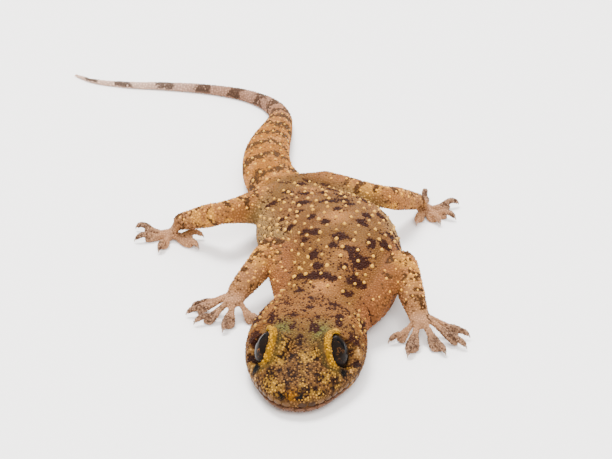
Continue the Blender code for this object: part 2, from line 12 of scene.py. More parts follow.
import bpy
import numpy as np
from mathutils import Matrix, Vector


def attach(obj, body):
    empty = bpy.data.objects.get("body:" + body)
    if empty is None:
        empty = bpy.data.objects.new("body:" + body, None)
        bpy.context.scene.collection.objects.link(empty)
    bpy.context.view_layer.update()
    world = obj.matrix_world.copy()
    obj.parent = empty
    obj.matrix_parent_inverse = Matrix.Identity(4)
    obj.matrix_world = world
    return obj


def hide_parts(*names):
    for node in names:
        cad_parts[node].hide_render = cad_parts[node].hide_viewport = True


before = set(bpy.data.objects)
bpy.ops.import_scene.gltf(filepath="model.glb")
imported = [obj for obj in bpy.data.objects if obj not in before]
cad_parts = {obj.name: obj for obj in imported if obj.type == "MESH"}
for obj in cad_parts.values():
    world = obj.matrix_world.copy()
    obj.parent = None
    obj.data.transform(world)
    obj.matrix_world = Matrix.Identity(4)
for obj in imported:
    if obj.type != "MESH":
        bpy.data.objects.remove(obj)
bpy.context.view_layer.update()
rng = np.random.default_rng(11)
MM = 0.001
print("nodes:", len(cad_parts))

# %% [markdown]
# ## The spine and the sections
#
# The gecko's body, head and tail are one long tube that lies on the floor. A tube like that is told by the
# path its middle takes over the floor, and by sections across it: how wide, how low the belly, how high the
# widest line and the back. These are the measures that the solids have, in millimetres, so skin and solids
# agree. Between the measured sections a smooth cubic runs through them.

# %% The path over the floor and the sections across it
SNOUT_TIP = (4.6, -41.0)
SPINE_WAYPOINTS = (
    (0.1, 0.0), (0.85, 6.0), (1.55, 12.1), (2.6, 15.4), (3.8, 18.8), (4.25, 24.0), (3.6, 29.4),
    (1.85, 34.4), (0.15, 39.7), (-1.5, 43.8), (-2.75, 48.2), (-3.05, 52.6), (-2.7, 57.6), (-2.0, 62.6),
    (-1.75, 66.4), (-2.7, 70.5), (-5.3, 73.9), (-9.2, 76.1), (-15.0, 77.6), (-20.0, 78.4), (-23.8, 79.9),
    (-25.9, 81.9),
)
# distance from the snout tip, half width, belly height, height of the widest line, back height
SECTIONS = np.array((
    (0.00, 0.35, 1.10, 1.35, 1.60),
    (0.25, 1.15, 0.62, 1.32, 2.02),
    (0.60, 1.75, 0.42, 1.30, 2.32),
    (1.10, 2.30, 0.32, 1.32, 2.62),
    (1.80, 2.88, 0.26, 1.38, 2.95),
    (2.75, 3.45, 0.22, 1.48, 3.32),
    (3.70, 3.98, 0.20, 1.56, 3.68),
    (5.00, 4.58, 0.18, 1.68, 4.10),
    (6.50, 5.00, 0.18, 1.82, 4.50),
    (8.50, 5.28, 0.18, 2.00, 4.90),
    (11.00, 5.32, 0.20, 2.20, 5.15),
    (13.00, 5.02, 0.22, 2.35, 5.15),
    (15.00, 4.62, 0.14, 2.50, 5.25),
    (17.00, 4.65, 0.00, 2.60, 5.75),
    (20.00, 5.25, -0.14, 2.75, 6.50),
    (24.00, 5.85, -0.20, 2.90, 7.05),
    (28.50, 6.20, -0.20, 2.75, 7.15),
    (33.00, 6.50, -0.20, 2.40, 6.60),
    (37.00, 5.55, -0.18, 2.25, 5.80),
    (41.00, 3.95, -0.14, 2.20, 4.95),
    (44.50, 2.95, -0.10, 2.05, 4.40),
    (48.00, 2.72, -0.10, 2.00, 4.20),
    (53.00, 2.55, -0.10, 1.90, 3.95),
    (58.00, 2.28, -0.10, 1.70, 3.55),
    (63.00, 1.85, -0.10, 1.42, 2.95),
    (67.00, 1.45, -0.08, 1.14, 2.40),
    (70.00, 1.16, -0.08, 0.94, 1.98),
    (74.00, 0.88, -0.06, 0.74, 1.56),
    (80.00, 0.68, -0.05, 0.58, 1.22),
    (87.00, 0.54, -0.04, 0.46, 0.98),
    (94.00, 0.40, -0.03, 0.34, 0.72),
    (101.00, 0.20, 0.00, 0.18, 0.40),
))
TAIL_TIP_AT = 101.0
BACK_POWER = 2.1
BELLY_POWER = 2.9
SKIN_INSET = 0.06  # the skin lies this far inside the solids, to leave room for its scales


def through(knots, values, at):
    """The smooth curve through given values: a cubic between neighbours whose slopes are the mean slopes."""
    knots, values = np.asarray(knots, float), np.asarray(values, float)
    slopes = np.gradient(values, knots, axis=0)
    at = np.clip(np.asarray(at, float), knots[0], knots[-1])
    low = np.clip(np.searchsorted(knots, at, side="right") - 1, 0, len(knots) - 2)
    width = knots[low + 1] - knots[low]
    t = (at - knots[low]) / width
    if values.ndim > 1:
        t, width = t[..., None], width[..., None]
    stay = 2 * t**3 - 3 * t**2 + 1
    leave, arrive = (t**3 - 2 * t**2 + t) * width, (t**3 - t**2) * width
    return stay * values[low] + leave * slopes[low] + (1 - stay) * values[low + 1] + arrive * slopes[low + 1]


waypoints = np.array(SPINE_WAYPOINTS) + np.array(SNOUT_TIP)
chords = np.concatenate([[0], np.cumsum(np.linalg.norm(np.diff(waypoints, axis=0), axis=1))])
SPINE = through(chords, waypoints, np.linspace(0, chords[-1], 800))
ALONG = np.concatenate([[0], np.cumsum(np.linalg.norm(np.diff(SPINE, axis=0), axis=1))])
ALONG *= TAIL_TIP_AT / ALONG[-1]
print("spine, mm:", round(float(ALONG[-1]), 1))

# %% [markdown]
# ## Reading the body's surface
#
# Two numbers name any place on the trunk: the distance along the spine and the angle round it. The section
# there is a superellipse, a circle's equation with powers other than two: near two for the round back, and
# near three for the flatter belly that rests on the floor. The same measures also give the way back, from a
# point in space to its distance along the spine and its distance to the left, which the markings need.


# %% From distance and angle to a point, and back
UP = np.array([0.0, 0.0, 1.0])
FLOOR_GAP = 0.02  # nothing of the skin comes nearer to the floor than this


def unit(vectors):
    """Vectors scaled to length one."""
    return vectors / np.linalg.norm(vectors, axis=-1, keepdims=True)


def turns(count):
    """Angles evenly spaced once round."""
    return np.linspace(0, 2 * math.pi, count, endpoint=False)


def spine_at(distance):
    """The spine's point and the unit vector to the gecko's left: the spine's direction turned a quarter."""
    distance = np.asarray(distance, float)
    here, after, before = (
        np.stack([np.interp(d, ALONG, SPINE[:, k]) for k in (0, 1)], axis=-1)
        for d in (distance, np.minimum(distance + 0.5, TAIL_TIP_AT), np.maximum(distance - 0.5, 0)))
    back = unit(after - before)
    return here, np.stack([back[..., 1], -back[..., 0]], axis=-1)


def section_at(distance):
    """The section's half width, belly height, widest line's height and back height."""
    return np.moveaxis(through(SECTIONS[:, 0], SECTIONS[:, 1:], distance), -1, 0)


def rise_at(distance, height):
    """How far a height is up from the widest line to the back, or down to the belly, as a share, with the
    section's power, half width and widest line there."""
    half, belly, widest, back = section_at(distance)
    upper = height > widest
    share = np.where(upper, (height - widest) / (back - widest), (widest - height) / (widest - belly))
    return share, np.where(upper, BACK_POWER, BELLY_POWER), half, widest


def trunk_surface(distance, angle):
    """Points of the trunk's skin: the spine's point, plus the half width times the angle's powered cosine to
    the left, at the widest line's height plus the rise to the back, or the drop to the belly, times its
    powered sine. The power turns the circle squarer, and nothing goes below the floor."""
    distance, angle = np.broadcast_arrays(np.asarray(distance, float), np.asarray(angle, float))
    half, belly, widest, back = section_at(distance)
    across, upward = np.cos(angle), np.sin(angle)
    power = np.where(upward > 0, BACK_POWER, BELLY_POWER)
    out = np.sign(across) * np.abs(across) ** (2 / power)
    rise = np.sign(upward) * np.abs(upward) ** (2 / power)
    height = widest + rise * (np.where(upward > 0, back - widest, widest - belly) - SKIN_INSET)
    centre, left = spine_at(distance)
    flat = centre + ((half - SKIN_INSET) * out)[..., None] * left
    return np.concatenate([flat, np.maximum(height, FLOOR_GAP)[..., None]], axis=-1)


def trunk_normals(distance, angle):
    """Outward unit normals of the trunk: a small step backwards crossed with a small step round."""
    backwards = trunk_surface(distance + 0.02, angle) - trunk_surface(distance - 0.02, angle)
    turn = trunk_surface(distance, angle + 0.01) - trunk_surface(distance, angle - 0.01)
    return unit(np.cross(backwards, turn))


def place_on_body(points):
    """Distance along the spine and to the left for points in millimetres: the nearest of many samples of
    the spine, then the offset from it measured along its own direction and across it."""
    every = slice(None, None, 2)
    best = np.empty(len(points), int)
    for start in range(0, len(points), 20000):
        part = points[start : start + 20000, None, :2] - SPINE[None, every]
        best[start : start + 20000] = np.argmin(np.sum(part * part, axis=2), axis=1)
    near = ALONG[every][best]
    centre, left = spine_at(near)
    offset = points[:, :2] - centre
    backwards = np.stack([-left[:, 1], left[:, 0]], axis=-1)
    return near + np.sum(offset * backwards, axis=1), np.sum(offset * left, axis=1)


def head_point(from_snout, to_left, height):
    """A point by its distance behind the snout tip, to the left, and its height."""
    centre, left = spine_at(np.array([from_snout]))
    return np.array([*(centre[0] + to_left * left[0]), height])


# %% [markdown]
# ## Putting grids of points into meshes
#
# Every surface below ends as arrays of corners and of faces. Blender takes such arrays whole, which is far
# faster than adding corners one by one. The tube's ends are closed with a fan of triangles round one point.


# %% Arrays into a mesh
def new_mesh(name, points, *face_sets):
    """A mesh from points in millimetres and arrays of faces, each array with its own number of corners."""
    mesh = bpy.data.meshes.new(name)
    mesh.vertices.add(len(points))
    mesh.vertices.foreach_set("co", (np.asarray(points, np.float64) * MM).astype(np.float32).ravel())
    corners = np.concatenate([np.asarray(f).ravel() for f in face_sets])
    counts = np.concatenate([np.full(len(f), np.asarray(f).shape[1]) for f in face_sets])
    mesh.loops.add(len(corners))
    mesh.loops.foreach_set("vertex_index", corners.astype(np.int32))
    mesh.polygons.add(len(counts))
    mesh.polygons.foreach_set("loop_start", np.concatenate([[0], np.cumsum(counts)[:-1]]).astype(np.int32))
    mesh.update(calc_edges=True)
    made = bpy.data.objects.new(name, mesh)
    bpy.context.scene.collection.objects.link(made)
    mesh.shade_smooth()
    return made


def tube_faces(rows, sides):
    """Quads between neighbouring rings, where each corner's neighbour is one step round or one ring on."""
    row, side = np.meshgrid(np.arange(rows - 1), np.arange(sides), indexing="ij")
    here, after = row * sides + side, row * sides + (side + 1) % sides
    return np.stack([here, after, after + sides, here + sides], -1).reshape(-1, 4)


def closed_tube(rings):
    """Points, quads and end triangles of a tube: its rings, and at each end a fan round the middle."""
    rows, sides = rings.shape[:2]
    points = np.concatenate([rings.reshape(-1, 3), [rings[0].mean(0), rings[-1].mean(0)]])
    side, last = np.arange(sides), (rows - 1) * sides
    after = (side + 1) % sides
    start = np.stack([np.full(sides, rows * sides), after, side], -1)
    end = np.stack([np.full(sides, rows * sides + 1), last + side, last + after], -1)
    return points, tube_faces(rows, sides), np.concatenate([start, end])


def joined(tubes):
    """Several tubes as one set of points, quads and triangles, each numbered after the last."""
    points, quads, ends = zip(*(closed_tube(rings) for rings in tubes))
    first = np.cumsum([0] + [len(part) for part in points])
    return (np.concatenate(points), np.concatenate([faces + k for faces, k in zip(quads, first)]),
            np.concatenate([faces + k for faces, k in zip(ends, first)]))


def read_vectors(data, key):
    """Three numbers for each item of a mesh's data, as one array."""
    held = np.empty(len(data) * 3, np.float32)
    data.foreach_get(key, held)
    return held.reshape(-1, 3).astype(float)


def corner_positions(made):
    """A mesh's corners in millimetres."""
    return read_vectors(made.data.vertices, "co") / MM


def set_corners(made, points):
    """Moves a mesh's corners to these places in millimetres."""
    made.data.vertices.foreach_set("co", (points * MM).astype(np.float32).ravel())
    made.data.update()


def give_flat_map(made, name, flat, *face_sets):
    """A UV map from one flat place for each corner, in the order of the faces."""
    corner_of = np.concatenate([faces.ravel() for faces in face_sets])
    made.data.uv_layers.new(name=name)
    made.data.uv_layers[name].data.foreach_set("uv", flat[corner_of].astype(np.float32).ravel())


# %% [markdown]
# ## The trunk, brows and snout edges
#
# The trunk is one closed tube from the snout tip to the tail tip. Over each eye a gecko's skull swells into
# a brow, and a blunt edge runs from the brow to the nostril. Both are flattened balls that sink into the
# trunk here and melt into it when the skin is made. A thin rim bends round the upper part of each eye.

# %% Trunk, brows and snout edges as rings
EYE_BULGE = 1.1
EYE_RADIUS = 1.64
EYE_FROM_SNOUT, EYE_HEIGHT = 6.1, 3.4
EYE_FROM_MIDLINE = {1: 2.75, -1: 3.05}  # left and right: the head is rolled a little to its right
EYE_TURN_FORWARD, EYE_TURN_UP = math.radians(12), math.radians(24)
LID_RING, LID_OUTWARD = 1.78, 0.34  # the raised rim round the eye: its radius, and how far out it lies


def flat_ball(centre, ahead, left, up, sizes, rows=24, sides=32):
    """Rings of a ball with three half sizes: each ring's reach is the sine, and its place along the first
    direction the cosine, of the angle from the ball's front pole."""
    tilt, turn = np.linspace(0.06, math.pi - 0.06, rows)[:, None, None], turns(sides)[None, :, None]
    return (centre + np.cos(tilt) * sizes[0] * ahead
            + np.sin(tilt) * (np.cos(turn) * sizes[1] * left + np.sin(turn) * sizes[2] * up))


head_left = np.array([*spine_at(np.array([EYE_FROM_SNOUT]))[1][0], 0.0])
head_ahead = np.array([head_left[1], -head_left[0], 0.0])
EYES = {}
for name, side in (("left", 1), ("right", -1)):
    level = side * head_left * math.cos(EYE_TURN_FORWARD) + head_ahead * math.sin(EYE_TURN_FORWARD)
    look = unit(level * math.cos(EYE_TURN_UP) + UP * math.sin(EYE_TURN_UP))
    over = unit(UP - look * look[2])
    across = unit(np.cross(over, look))  # right-handed with these two: ahead in one eye, back in the other
    centre = head_point(EYE_FROM_SNOUT, side * EYE_FROM_MIDLINE[side], EYE_HEIGHT)
    EYES[name] = dict(side=side, centre=centre, look=look, over=over, across=across, ahead=-side * across)


def lid_rings(eye, thickest=0.23, rows=72, sides=14):
    """The raised rim over the eye: rings round the upper part of a circle in the plane of its opening, each
    thinner the nearer it is to an end, by the square root of the sine of its share of the way."""
    share, around = np.linspace(0.02, 0.98, rows)[:, None, None], turns(sides)[None, :, None]
    turn = math.radians(65) - eye["side"] * math.radians(90) * (2 * share - 1)
    spoke = np.cos(turn) * eye["ahead"] + np.sin(turn) * eye["over"]
    middle = eye["centre"] + LID_RING * spoke + LID_OUTWARD * eye["look"]
    radius = thickest * np.sqrt(np.sin(math.pi * share))
    return middle + radius * (np.cos(around) * spoke + np.sin(around) * eye["look"])


# rings stand closest at the snout, where the form turns quickly
trunk_rows = np.concatenate([np.linspace(0, 2, 16)[:-1], np.linspace(2, TAIL_TIP_AT, 380)])
skin_parts = [trunk_surface(trunk_rows[:, None], turns(96)[None, :])]
nose_down = unit(head_ahead * math.cos(math.radians(22)) - UP * math.sin(math.radians(22)))
for eye in EYES.values():
    brow = head_point(EYE_FROM_SNOUT, eye["side"] * 1.9, 3.2)
    skin_parts.append(flat_ball(brow, head_ahead, head_left, UP, (2.1, 1.4, 1.79)))
    edge = head_point(3.3, eye["side"] * 1.75, 2.72)
    skin_parts.append(flat_ball(edge, nose_down, head_left, np.cross(nose_down, head_left), (2.6, 0.6, 0.5)))
    skin_parts.append(lid_rings(eye))
    cup = eye["centre"] - 0.2 * eye["look"]  # the rim round the whole eye, before the socket is carved
    skin_parts.append(flat_ball(cup, eye["look"], eye["across"], eye["over"], (0.8, 1.98, 1.98)))
print("trunk rings:", len(trunk_rows))

# %% [markdown]
# ## Legs
#
# Each leg is a tube whose middle passes the shoulder or hip, the elbow or knee, and the wrist or ankle, in
# a smooth bend. Its thickness falls from the thigh or upper arm to the wrist. A short thick tube from the
# spine to each hip is the muscle that fills the corner between thigh and tail.

# %% Legs as rings along a bent path
LIMBS = {
    "front_left": ((5.95, 14.9, 2.7), (9.9, 20.7, 4.8), (11.15, 16.0, 2.3)),
    "front_right": ((0.1, 17.7, 2.7), (-1.9, 24.1, 4.6), (-5.15, 19.95, 2.25)),
    "hind_left": ((2.95, 40.7, 3.3), (8.8, 36.9, 4.35), (12.5, 42.0, 1.6)),
    "hind_right": ((-1.9, 38.2, 3.0), (-7.0, 33.4, 4.2), (-11.5, 36.6, 1.75)),
}
LIMB_RADII = {
    "front": (1.9, 1.66, 1.4, 1.3, 1.33, 1.22, 1.05),
    "hind": (2.05, 1.76, 1.36, 1.12, 1.16, 1.0, 0.82),
}
# for each foot the palm's place, then the five toes' directions in degrees and their lengths
FEET = {
    "front_left": ((11.45, 14.95), (-150, -106, -62, -40, -16), (1.85, 3.15, 3.1, 3.55, 2.95)),
    "front_right": ((-5.6, 19.1), (-43, -107, -153, -175, 168), (2.0, 2.5, 2.75, 2.8, 2.35)),
    "hind_left": ((12.95, 42.55), (-103, -64, -31, 26, 84), (2.4, 2.6, 2.7, 3.1, 3.6)),
    "hind_right": ((-12.3, 36.5), (-4, -46, -105, -163, 152), (2.2, 3.1, 2.8, 2.6, 3.0)),
}

HAUNCH_AT = 43.0  # the muscle behind each thigh starts here on the spine
LEG_STEPS = 60


def from_snout(point):
    """Points measured from the snout tip, in the shared frame."""
    return np.asarray(point, float) + (*SNOUT_TIP, 0.0)


def path_frame(path):
    """Unit vectors along a path, and to the left of someone who walks it."""
    ahead = unit(np.gradient(path, axis=0))
    return ahead, unit(np.cross(UP, ahead))


def rings_along(path, radii, sides=28):
    """Rings across a path: each lies square to the path's direction, with its own radius."""
    ahead, left = path_frame(path)
    turn = turns(sides)[None, :, None]
    spokes = np.sin(turn) * np.cross(ahead, left)[:, None] - np.cos(turn) * left[:, None]
    return path[:, None] + radii[:, None, None] * spokes


def bell(*parts):
    """1 where all parts are zero, falling off on all sides: e to the power of minus the sum of squares."""
    return np.exp(-sum(part**2 for part in parts))


LIMB_PATHS = {}
for name, joints in LIMBS.items():
    kind = name.split("_")[0]
    corners = from_snout(joints)
    t = np.linspace(0, 2, LEG_STEPS)
    straight = np.stack([np.interp(t, (0, 1, 2), corners[:, k]) for k in range(3)], axis=1)
    path = straight + (through((0, 1, 2), corners, t) - straight) * bell((t - 1) / 0.28)[:, None] * 0.6
    radii = through(np.linspace(0, 2, 7), LIMB_RADII[kind], t) - SKIN_INSET
    LIMB_PATHS[name] = (path, radii)
    skin_parts.append(rings_along(path, radii))
    if kind == "hind":
        hip, root = path[0], np.append(spine_at(HAUNCH_AT)[0], path[0, 2] - 0.2)
        reach = np.linspace(0, 1, 8)
        haunch = root + (hip - root) * reach[:, None]
        skin_parts.append(rings_along(haunch, radii[0] * (0.88 + 0.12 * reach)))
        skin_parts.append(flat_ball(hip, head_ahead, head_left, UP, (radii[0],) * 3))
print("legs:", ", ".join(LIMBS))

# %% [markdown]
# ## Feet
#
# A house gecko's toe is narrow at its root and broadens into a flat pad that rests on the floor. The last
# bone is thin: it springs from the pad's upper side, arches past its end and carries the claw. Palm, toes
# and bones are tubes too, and the claws are made later as horn. The palms of the hands are held a little
# above the floor, and their toes come down from them.


# %% Palms, toe pads and last bones as rings
TOE_FORM = np.array((  # share of the toe's length, half width, lowest and highest point
    (0.05, 0.26, 0.25, 0.86), (0.3, 0.23, 0.12, 0.74), (0.46, 0.27, 0.02, 0.68), (0.6, 0.42, 0.0, 0.68),
    (0.8, 0.51, 0.0, 0.64), (0.93, 0.42, 0.0, 0.5), (1.0, 0.2, 0.04, 0.3),
))
LAST_BONE = np.array((  # distance past the pad's end, height, radius
    (-0.95, 0.42, 0.29), (-0.35, 0.73, 0.3), (0.15, 0.84, 0.29), (0.6, 0.73, 0.26),
    (0.86, 0.54, 0.2), (0.98, 0.42, 0.12),
))
TOE_WIDTH = {"front": (1.15, 1.3, 1.3, 1.0, 0.95), "hind": (1.0,) * 5}  # a hand's toes are the broader ones
TOE_ROOTS = {  # where each toe starts, from the middle of the palm: outwards and backwards
    "front": ((-0.4, 0.0), (-0.15, -0.1), (0.15, -0.1), (0.5, 0.45), (0.6, 0.75)),
    "hind": ((0.0, 0.0),) * 5,
}
PALM_LIFT = {"front": 1.25, "hind": 0.0}  # the palm's underside stands this high above the floor
LIFT_ENDS = (0.8, 0.8, 0.8, 1.05, 1.05)  # share of each toe's length by which it has come down to the floor
PALM_REACH = {"front": 0.93, "hind": 1.15}
PALM_HALF_WIDTHS = {"front": (1.0, 0.96, 0.9, 0.66, 0.3), "hind": (0.92, 0.94, 0.92, 0.72, 0.33)}
PALM_HALF_HEIGHTS = {"front": (0.98, 0.78, 0.56, 0.46, 0.3), "hind": (0.78, 0.66, 0.52, 0.45, 0.3)}


def toe_lift(kind, number, share):
    """How much higher a raised palm holds a toe: all of the palm's lift at its root, and then ever less."""
    return PALM_LIFT[kind] * (1 - np.clip(share / LIFT_ENDS[number], 0, 1) ** 1.6)


def flat_rings(middles, across, half_width, half_height, sides=20):
    """Oval rings round given middles, cut flat where they would pass through the floor."""
    turn = turns(sides)[None, :, None]
    rings = middles[:, None] + np.cos(turn) * across * half_width[:, None, None]
    rings = rings + np.sin(turn) * UP * half_height[:, None, None]
    rings[..., 2] = np.maximum(rings[..., 2], FLOOR_GAP)
    return rings


TOES = []
for name, (palm_at, directions, lengths) in FEET.items():
    kind, outside = name.split("_")[0], 1 if name.endswith("left") else -1
    palm, wrist = from_snout((*palm_at, 0.0)), from_snout(LIMBS[name][2])
    way = unit((palm - wrist) * (1, 1, 0))
    middle = palm + UP * (0.5 + PALM_LIFT[kind])
    stations = (
        wrist, wrist * 0.55 + middle * 0.45, middle,
        middle + way * PALM_REACH[kind] * 0.6 - UP * 0.04,
        middle + way * PALM_REACH[kind] * 0.95 - UP * 0.1,
    )
    middles, wide, high = (through(np.arange(5), values, np.linspace(0, 4, 22))
                           for values in (stations, PALM_HALF_WIDTHS[kind], PALM_HALF_HEIGHTS[kind]))
    skin_parts.append(flat_rings(middles, np.cross(way, UP), wide, high))
    for number, (degrees, length) in enumerate(zip(directions, lengths)):
        heading = np.array([math.cos(math.radians(degrees)), math.sin(math.radians(degrees)), 0.0])
        outwards, backwards = TOE_ROOTS[kind][number]
        root = palm + np.array([outwards * outside, backwards, 0.0])
        share = np.linspace(0.05, 1, 26)
        half, low, high = through(TOE_FORM[:, 0], TOE_FORM[:, 1:], share).T
        lift = toe_lift(kind, number, share)
        middles = root + heading * (length * share)[:, None] + UP * ((low + high) / 2 + lift)[:, None]
        width = half * TOE_WIDTH[kind][number]
        skin_parts.append(flat_rings(middles, np.cross(UP, heading), width, (high - low) / 2))
        past = np.linspace(LAST_BONE[0, 0], LAST_BONE[-1, 0], 18)
        height, radius = through(LAST_BONE[:, 0], LAST_BONE[:, 1:], past).T
        height = height + toe_lift(kind, number, 1 + past / length)
        bone = root + heading * (length + past)[:, None] + UP * height[:, None]
        skin_parts.append(rings_along(bone, radius, 14))
        TOES.append(dict(root=root, heading=heading, length=length))
print("toes:", len(TOES))

# %% [markdown]
# ## One skin
#
# The tubes still cut through each other. A voxel remesh fills them with tiny cubes, and keeps only the
# outside, so that trunk, legs and toes become one closed skin. At 0.12 mm it keeps the toes and lids.

# %% Join and remesh
VOXEL = 0.12
skin = new_mesh("gecko_skin", *joined(skin_parts))
remesh = skin.modifiers.new("voxels", "REMESH")
remesh.mode = "VOXEL"
remesh.voxel_size = VOXEL * MM


def bake_modifiers(made):
    """The evaluated mesh takes the place of the object's own, and the modifiers go."""
    graph = bpy.context.evaluated_depsgraph_get()
    made_mesh = bpy.data.meshes.new_from_object(made.evaluated_get(graph))
    made.modifiers.clear()
    made.data = made_mesh


def relaxed(made, weight, rounds):
    """Moves each corner towards the mean of its neighbours by its own weight, a few times over."""
    points = corner_positions(made)
    ends = np.empty(len(made.data.edges) * 2, np.int32)
    made.data.edges.foreach_get("vertices", ends)
    a, b = ends.reshape(-1, 2).T
    count = np.bincount(a, minlength=len(points)) + np.bincount(b, minlength=len(points))
    for _ in range(rounds):
        mean = np.stack([
            (np.bincount(a, points[b, k], len(points)) + np.bincount(b, points[a, k], len(points))) / count
            for k in range(3)
        ], axis=1)
        points = points + (mean - points) * weight[:, None]
    return points


bake_modifiers(skin)
print("after the remesh:", len(skin.data.vertices))

# %% [markdown]
# ## Where is this corner?
#
# Softening, carving and colouring all need to know what part of the animal a corner is on. A corner belongs
# to a leg when, measured in each part's own thickness, it is nearer the leg's middle line than the trunk's.


# %% Body place of every corner
WRIST_AT = 0.93  # share of a leg's path where its hand or foot begins
FOOT_REACH, FOOT_HEIGHT = 5.4, 3.3  # a foot lies this near to its palm, and below this height


def step_up(value, low, high):
    """0 below low, 1 above high, and an eased slope between."""
    part = np.clip((value - low) / (high - low), 0, 1)
    return part * part * (3 - 2 * part)


def distance_to_path(points, path, radii):
    """Nearest distance to a path in units of its radius there, how far along that place is, 0 to 1, and how
    far the point lies to the left of someone who walks the path, in radii."""
    ratio, along, lateral = np.full(len(points), 1e9), np.zeros(len(points)), np.zeros(len(points))
    left = path_frame(path)[1]
    for k in range(0, len(path), 2):
        offset = (points - path[k]) / radii[k]
        d = np.linalg.norm(offset, axis=1)
        near = d < ratio
        ratio[near], along[near], lateral[near] = d[near], k / (len(path) - 1), (offset @ left[k])[near]
    return ratio, along, lateral


def anatomy(points):
    """For points in millimetres: distance along the spine, to the left, how far out of the trunk they are
    (1 is on it), and for the legs the nearest one's number, how far along it and to its left, and 1 where a
    leg holds."""
    s, t = place_on_body(points)
    rise, power, half, widest = rise_at(s, points[:, 2])
    trunk = (np.abs(t / half) ** power + np.abs(rise) ** power) ** (1 / power)
    best, leg, along, lateral = np.full(len(points), 1e9), *np.zeros((3, len(points)))
    for number, (name, (path, radii)) in enumerate(LIMB_PATHS.items()):
        ratio, where, beside = distance_to_path(points, path, radii)
        from_palm = np.linalg.norm(points - from_snout((*FEET[name][0], 0.5)), axis=1)
        from_wrist = np.linalg.norm(points - path[round(WRIST_AT * (len(path) - 1))], axis=1)
        in_foot = (from_palm < FOOT_REACH) & ((where > WRIST_AT) | (ratio > 1.25))
        in_foot &= points[:, 2] < FOOT_HEIGHT
        ratio = np.where(in_foot, np.minimum(ratio, 1.0), ratio)
        where = np.where(in_foot, WRIST_AT + np.maximum(from_wrist - 0.9, 0) / 5.0, where)
        near = ratio < best
        best[near], leg[near], along[near], lateral[near] = ratio[near], number, where[near], beside[near]
    held = np.clip((trunk - 1.0) / 0.12, 0, 1) * ((best < 2.2) | (trunk > 1.6))
    return dict(s=s, t=t, z=points[:, 2], half=half, widest=widest, trunk=trunk, best=best, leg=leg,
                along=along, lateral=lateral, held=held)


# %% [markdown]
# ## Softening
#
# Where two tubes met there is now a sharp crease, which living skin never has. A few rounds of smoothing
# soften it, most of all where the legs join the body and least in the feet, whose toes would melt away. A
# collapse of the flattest edges then keeps the mesh within 200,000 triangles.

# %% Soften the creases and thin the mesh
SOFT_JOINTS, SOFT_FEET, SOFT_ELSEWHERE = 0.6, 0.12, 0.25  # share of the way to the neighbours' mean
TRIANGLES = 192000

body = anatomy(corner_positions(skin))
joint = (body["best"] < 2.0) & (np.abs(body["trunk"] - 1.1) < 0.32)
joint &= (body["s"] > 13) & (body["along"] < 0.45)
in_foot = (body["along"] > 0.97) & (body["held"] > 0.5)
soften = np.where(in_foot, SOFT_FEET, np.where(joint, SOFT_JOINTS, SOFT_ELSEWHERE))
set_corners(skin, relaxed(skin, soften, 4))
set_corners(skin, relaxed(skin, 0.7 * joint, 22))  # many more rounds where the legs join the body
shrink = skin.modifiers.new("fewer", "DECIMATE")
shrink.ratio = min(1.0, TRIANGLES / (2 * len(skin.data.polygons)))
bake_modifiers(skin)
print("skin triangles:", sum(len(p.vertices) - 2 for p in skin.data.polygons))

# %% [markdown]
# ## Carving the face
#
# Eyes, ears, nostrils and the mouth are hollows in one skin. Each is carved by moving corners: inside a
# circle round the eye's line of sight they sink to a shallow floor, in the ear and nostrils they sink by a
# bell-shaped depth, and along the mouth line they sink into a fine groove between two swollen lips. The
# skull also dips between the eyes and along the snout.

# %% Sockets, ears, nostrils and mouth
MOUTH_HEIGHT, MOUTH_RISE, MOUTH_CORNER_AT = 1.02, 0.04, 9.6
OPENING = 1.58  # radius of the eye's opening
SOCKET_FLOOR, RIM_HEIGHT = -0.35, 0.14
GROOVE_DEPTH, LIP_SWELL, NOSTRIL_DEPTH, EAR_DEPTH = 0.2, 0.07, 0.34, 0.8
DIPS = ((0.32, 5.4, 2.0, 1.0), (0.14, 2.4, 1.0, 0.55))  # depth, distance along, half length, half width
NOSTRILS = [head_point(0.42, 0.5, 1.95), head_point(0.45, -1.15, 1.86)]
EARS = [head_point(12.1, side * 5.0, 2.75) for side in (1, -1)]


def mouth_height(s):
    """The mouth line's height: it rises evenly backwards and curls up a little at its corner."""
    return MOUTH_HEIGHT + MOUTH_RISE * s + 0.35 * np.clip((s - 7.6) / 2.0, 0, 1) ** 2


def sight(points, eye):
    """Offsets from an eye's centre, their depths along its line of sight, and how far they are beside it."""
    offset = points - eye["centre"]
    depth = offset @ eye["look"]
    return offset, depth, np.linalg.norm(offset - depth[:, None] * eye["look"], axis=1)


points = corner_positions(skin)
body = anatomy(points)
for eye in EYES.values():
    offset, depth, reach = sight(points, eye)
    floor = SOCKET_FLOOR + 1.4 * np.clip((reach - OPENING * 0.9) / (OPENING * 0.25), 0, 1) ** 1.5
    sunk = (reach < OPENING * 1.15) & (depth > floor)
    points[sunk] += (floor - depth)[sunk, None] * eye["look"]
    rim = bell((reach - OPENING * 1.16) / 0.2) * np.clip(1 - np.abs(depth - 0.5) / 1.1, 0, 1)
    above = 0.6 + 0.4 * np.clip((offset @ eye["over"]) / 1.2, -1, 1)
    points += (RIM_HEIGHT * rim * above)[:, None] * eye["look"]
upper = step_up(points[:, 2] - body["widest"], 0.3, 1.2) * (body["held"] < 0.5)
dip = sum(deep * bell(body["t"] / wide, (body["s"] - at) / long) for deep, at, long, wide in DIPS)
points[:, 2] -= dip * upper
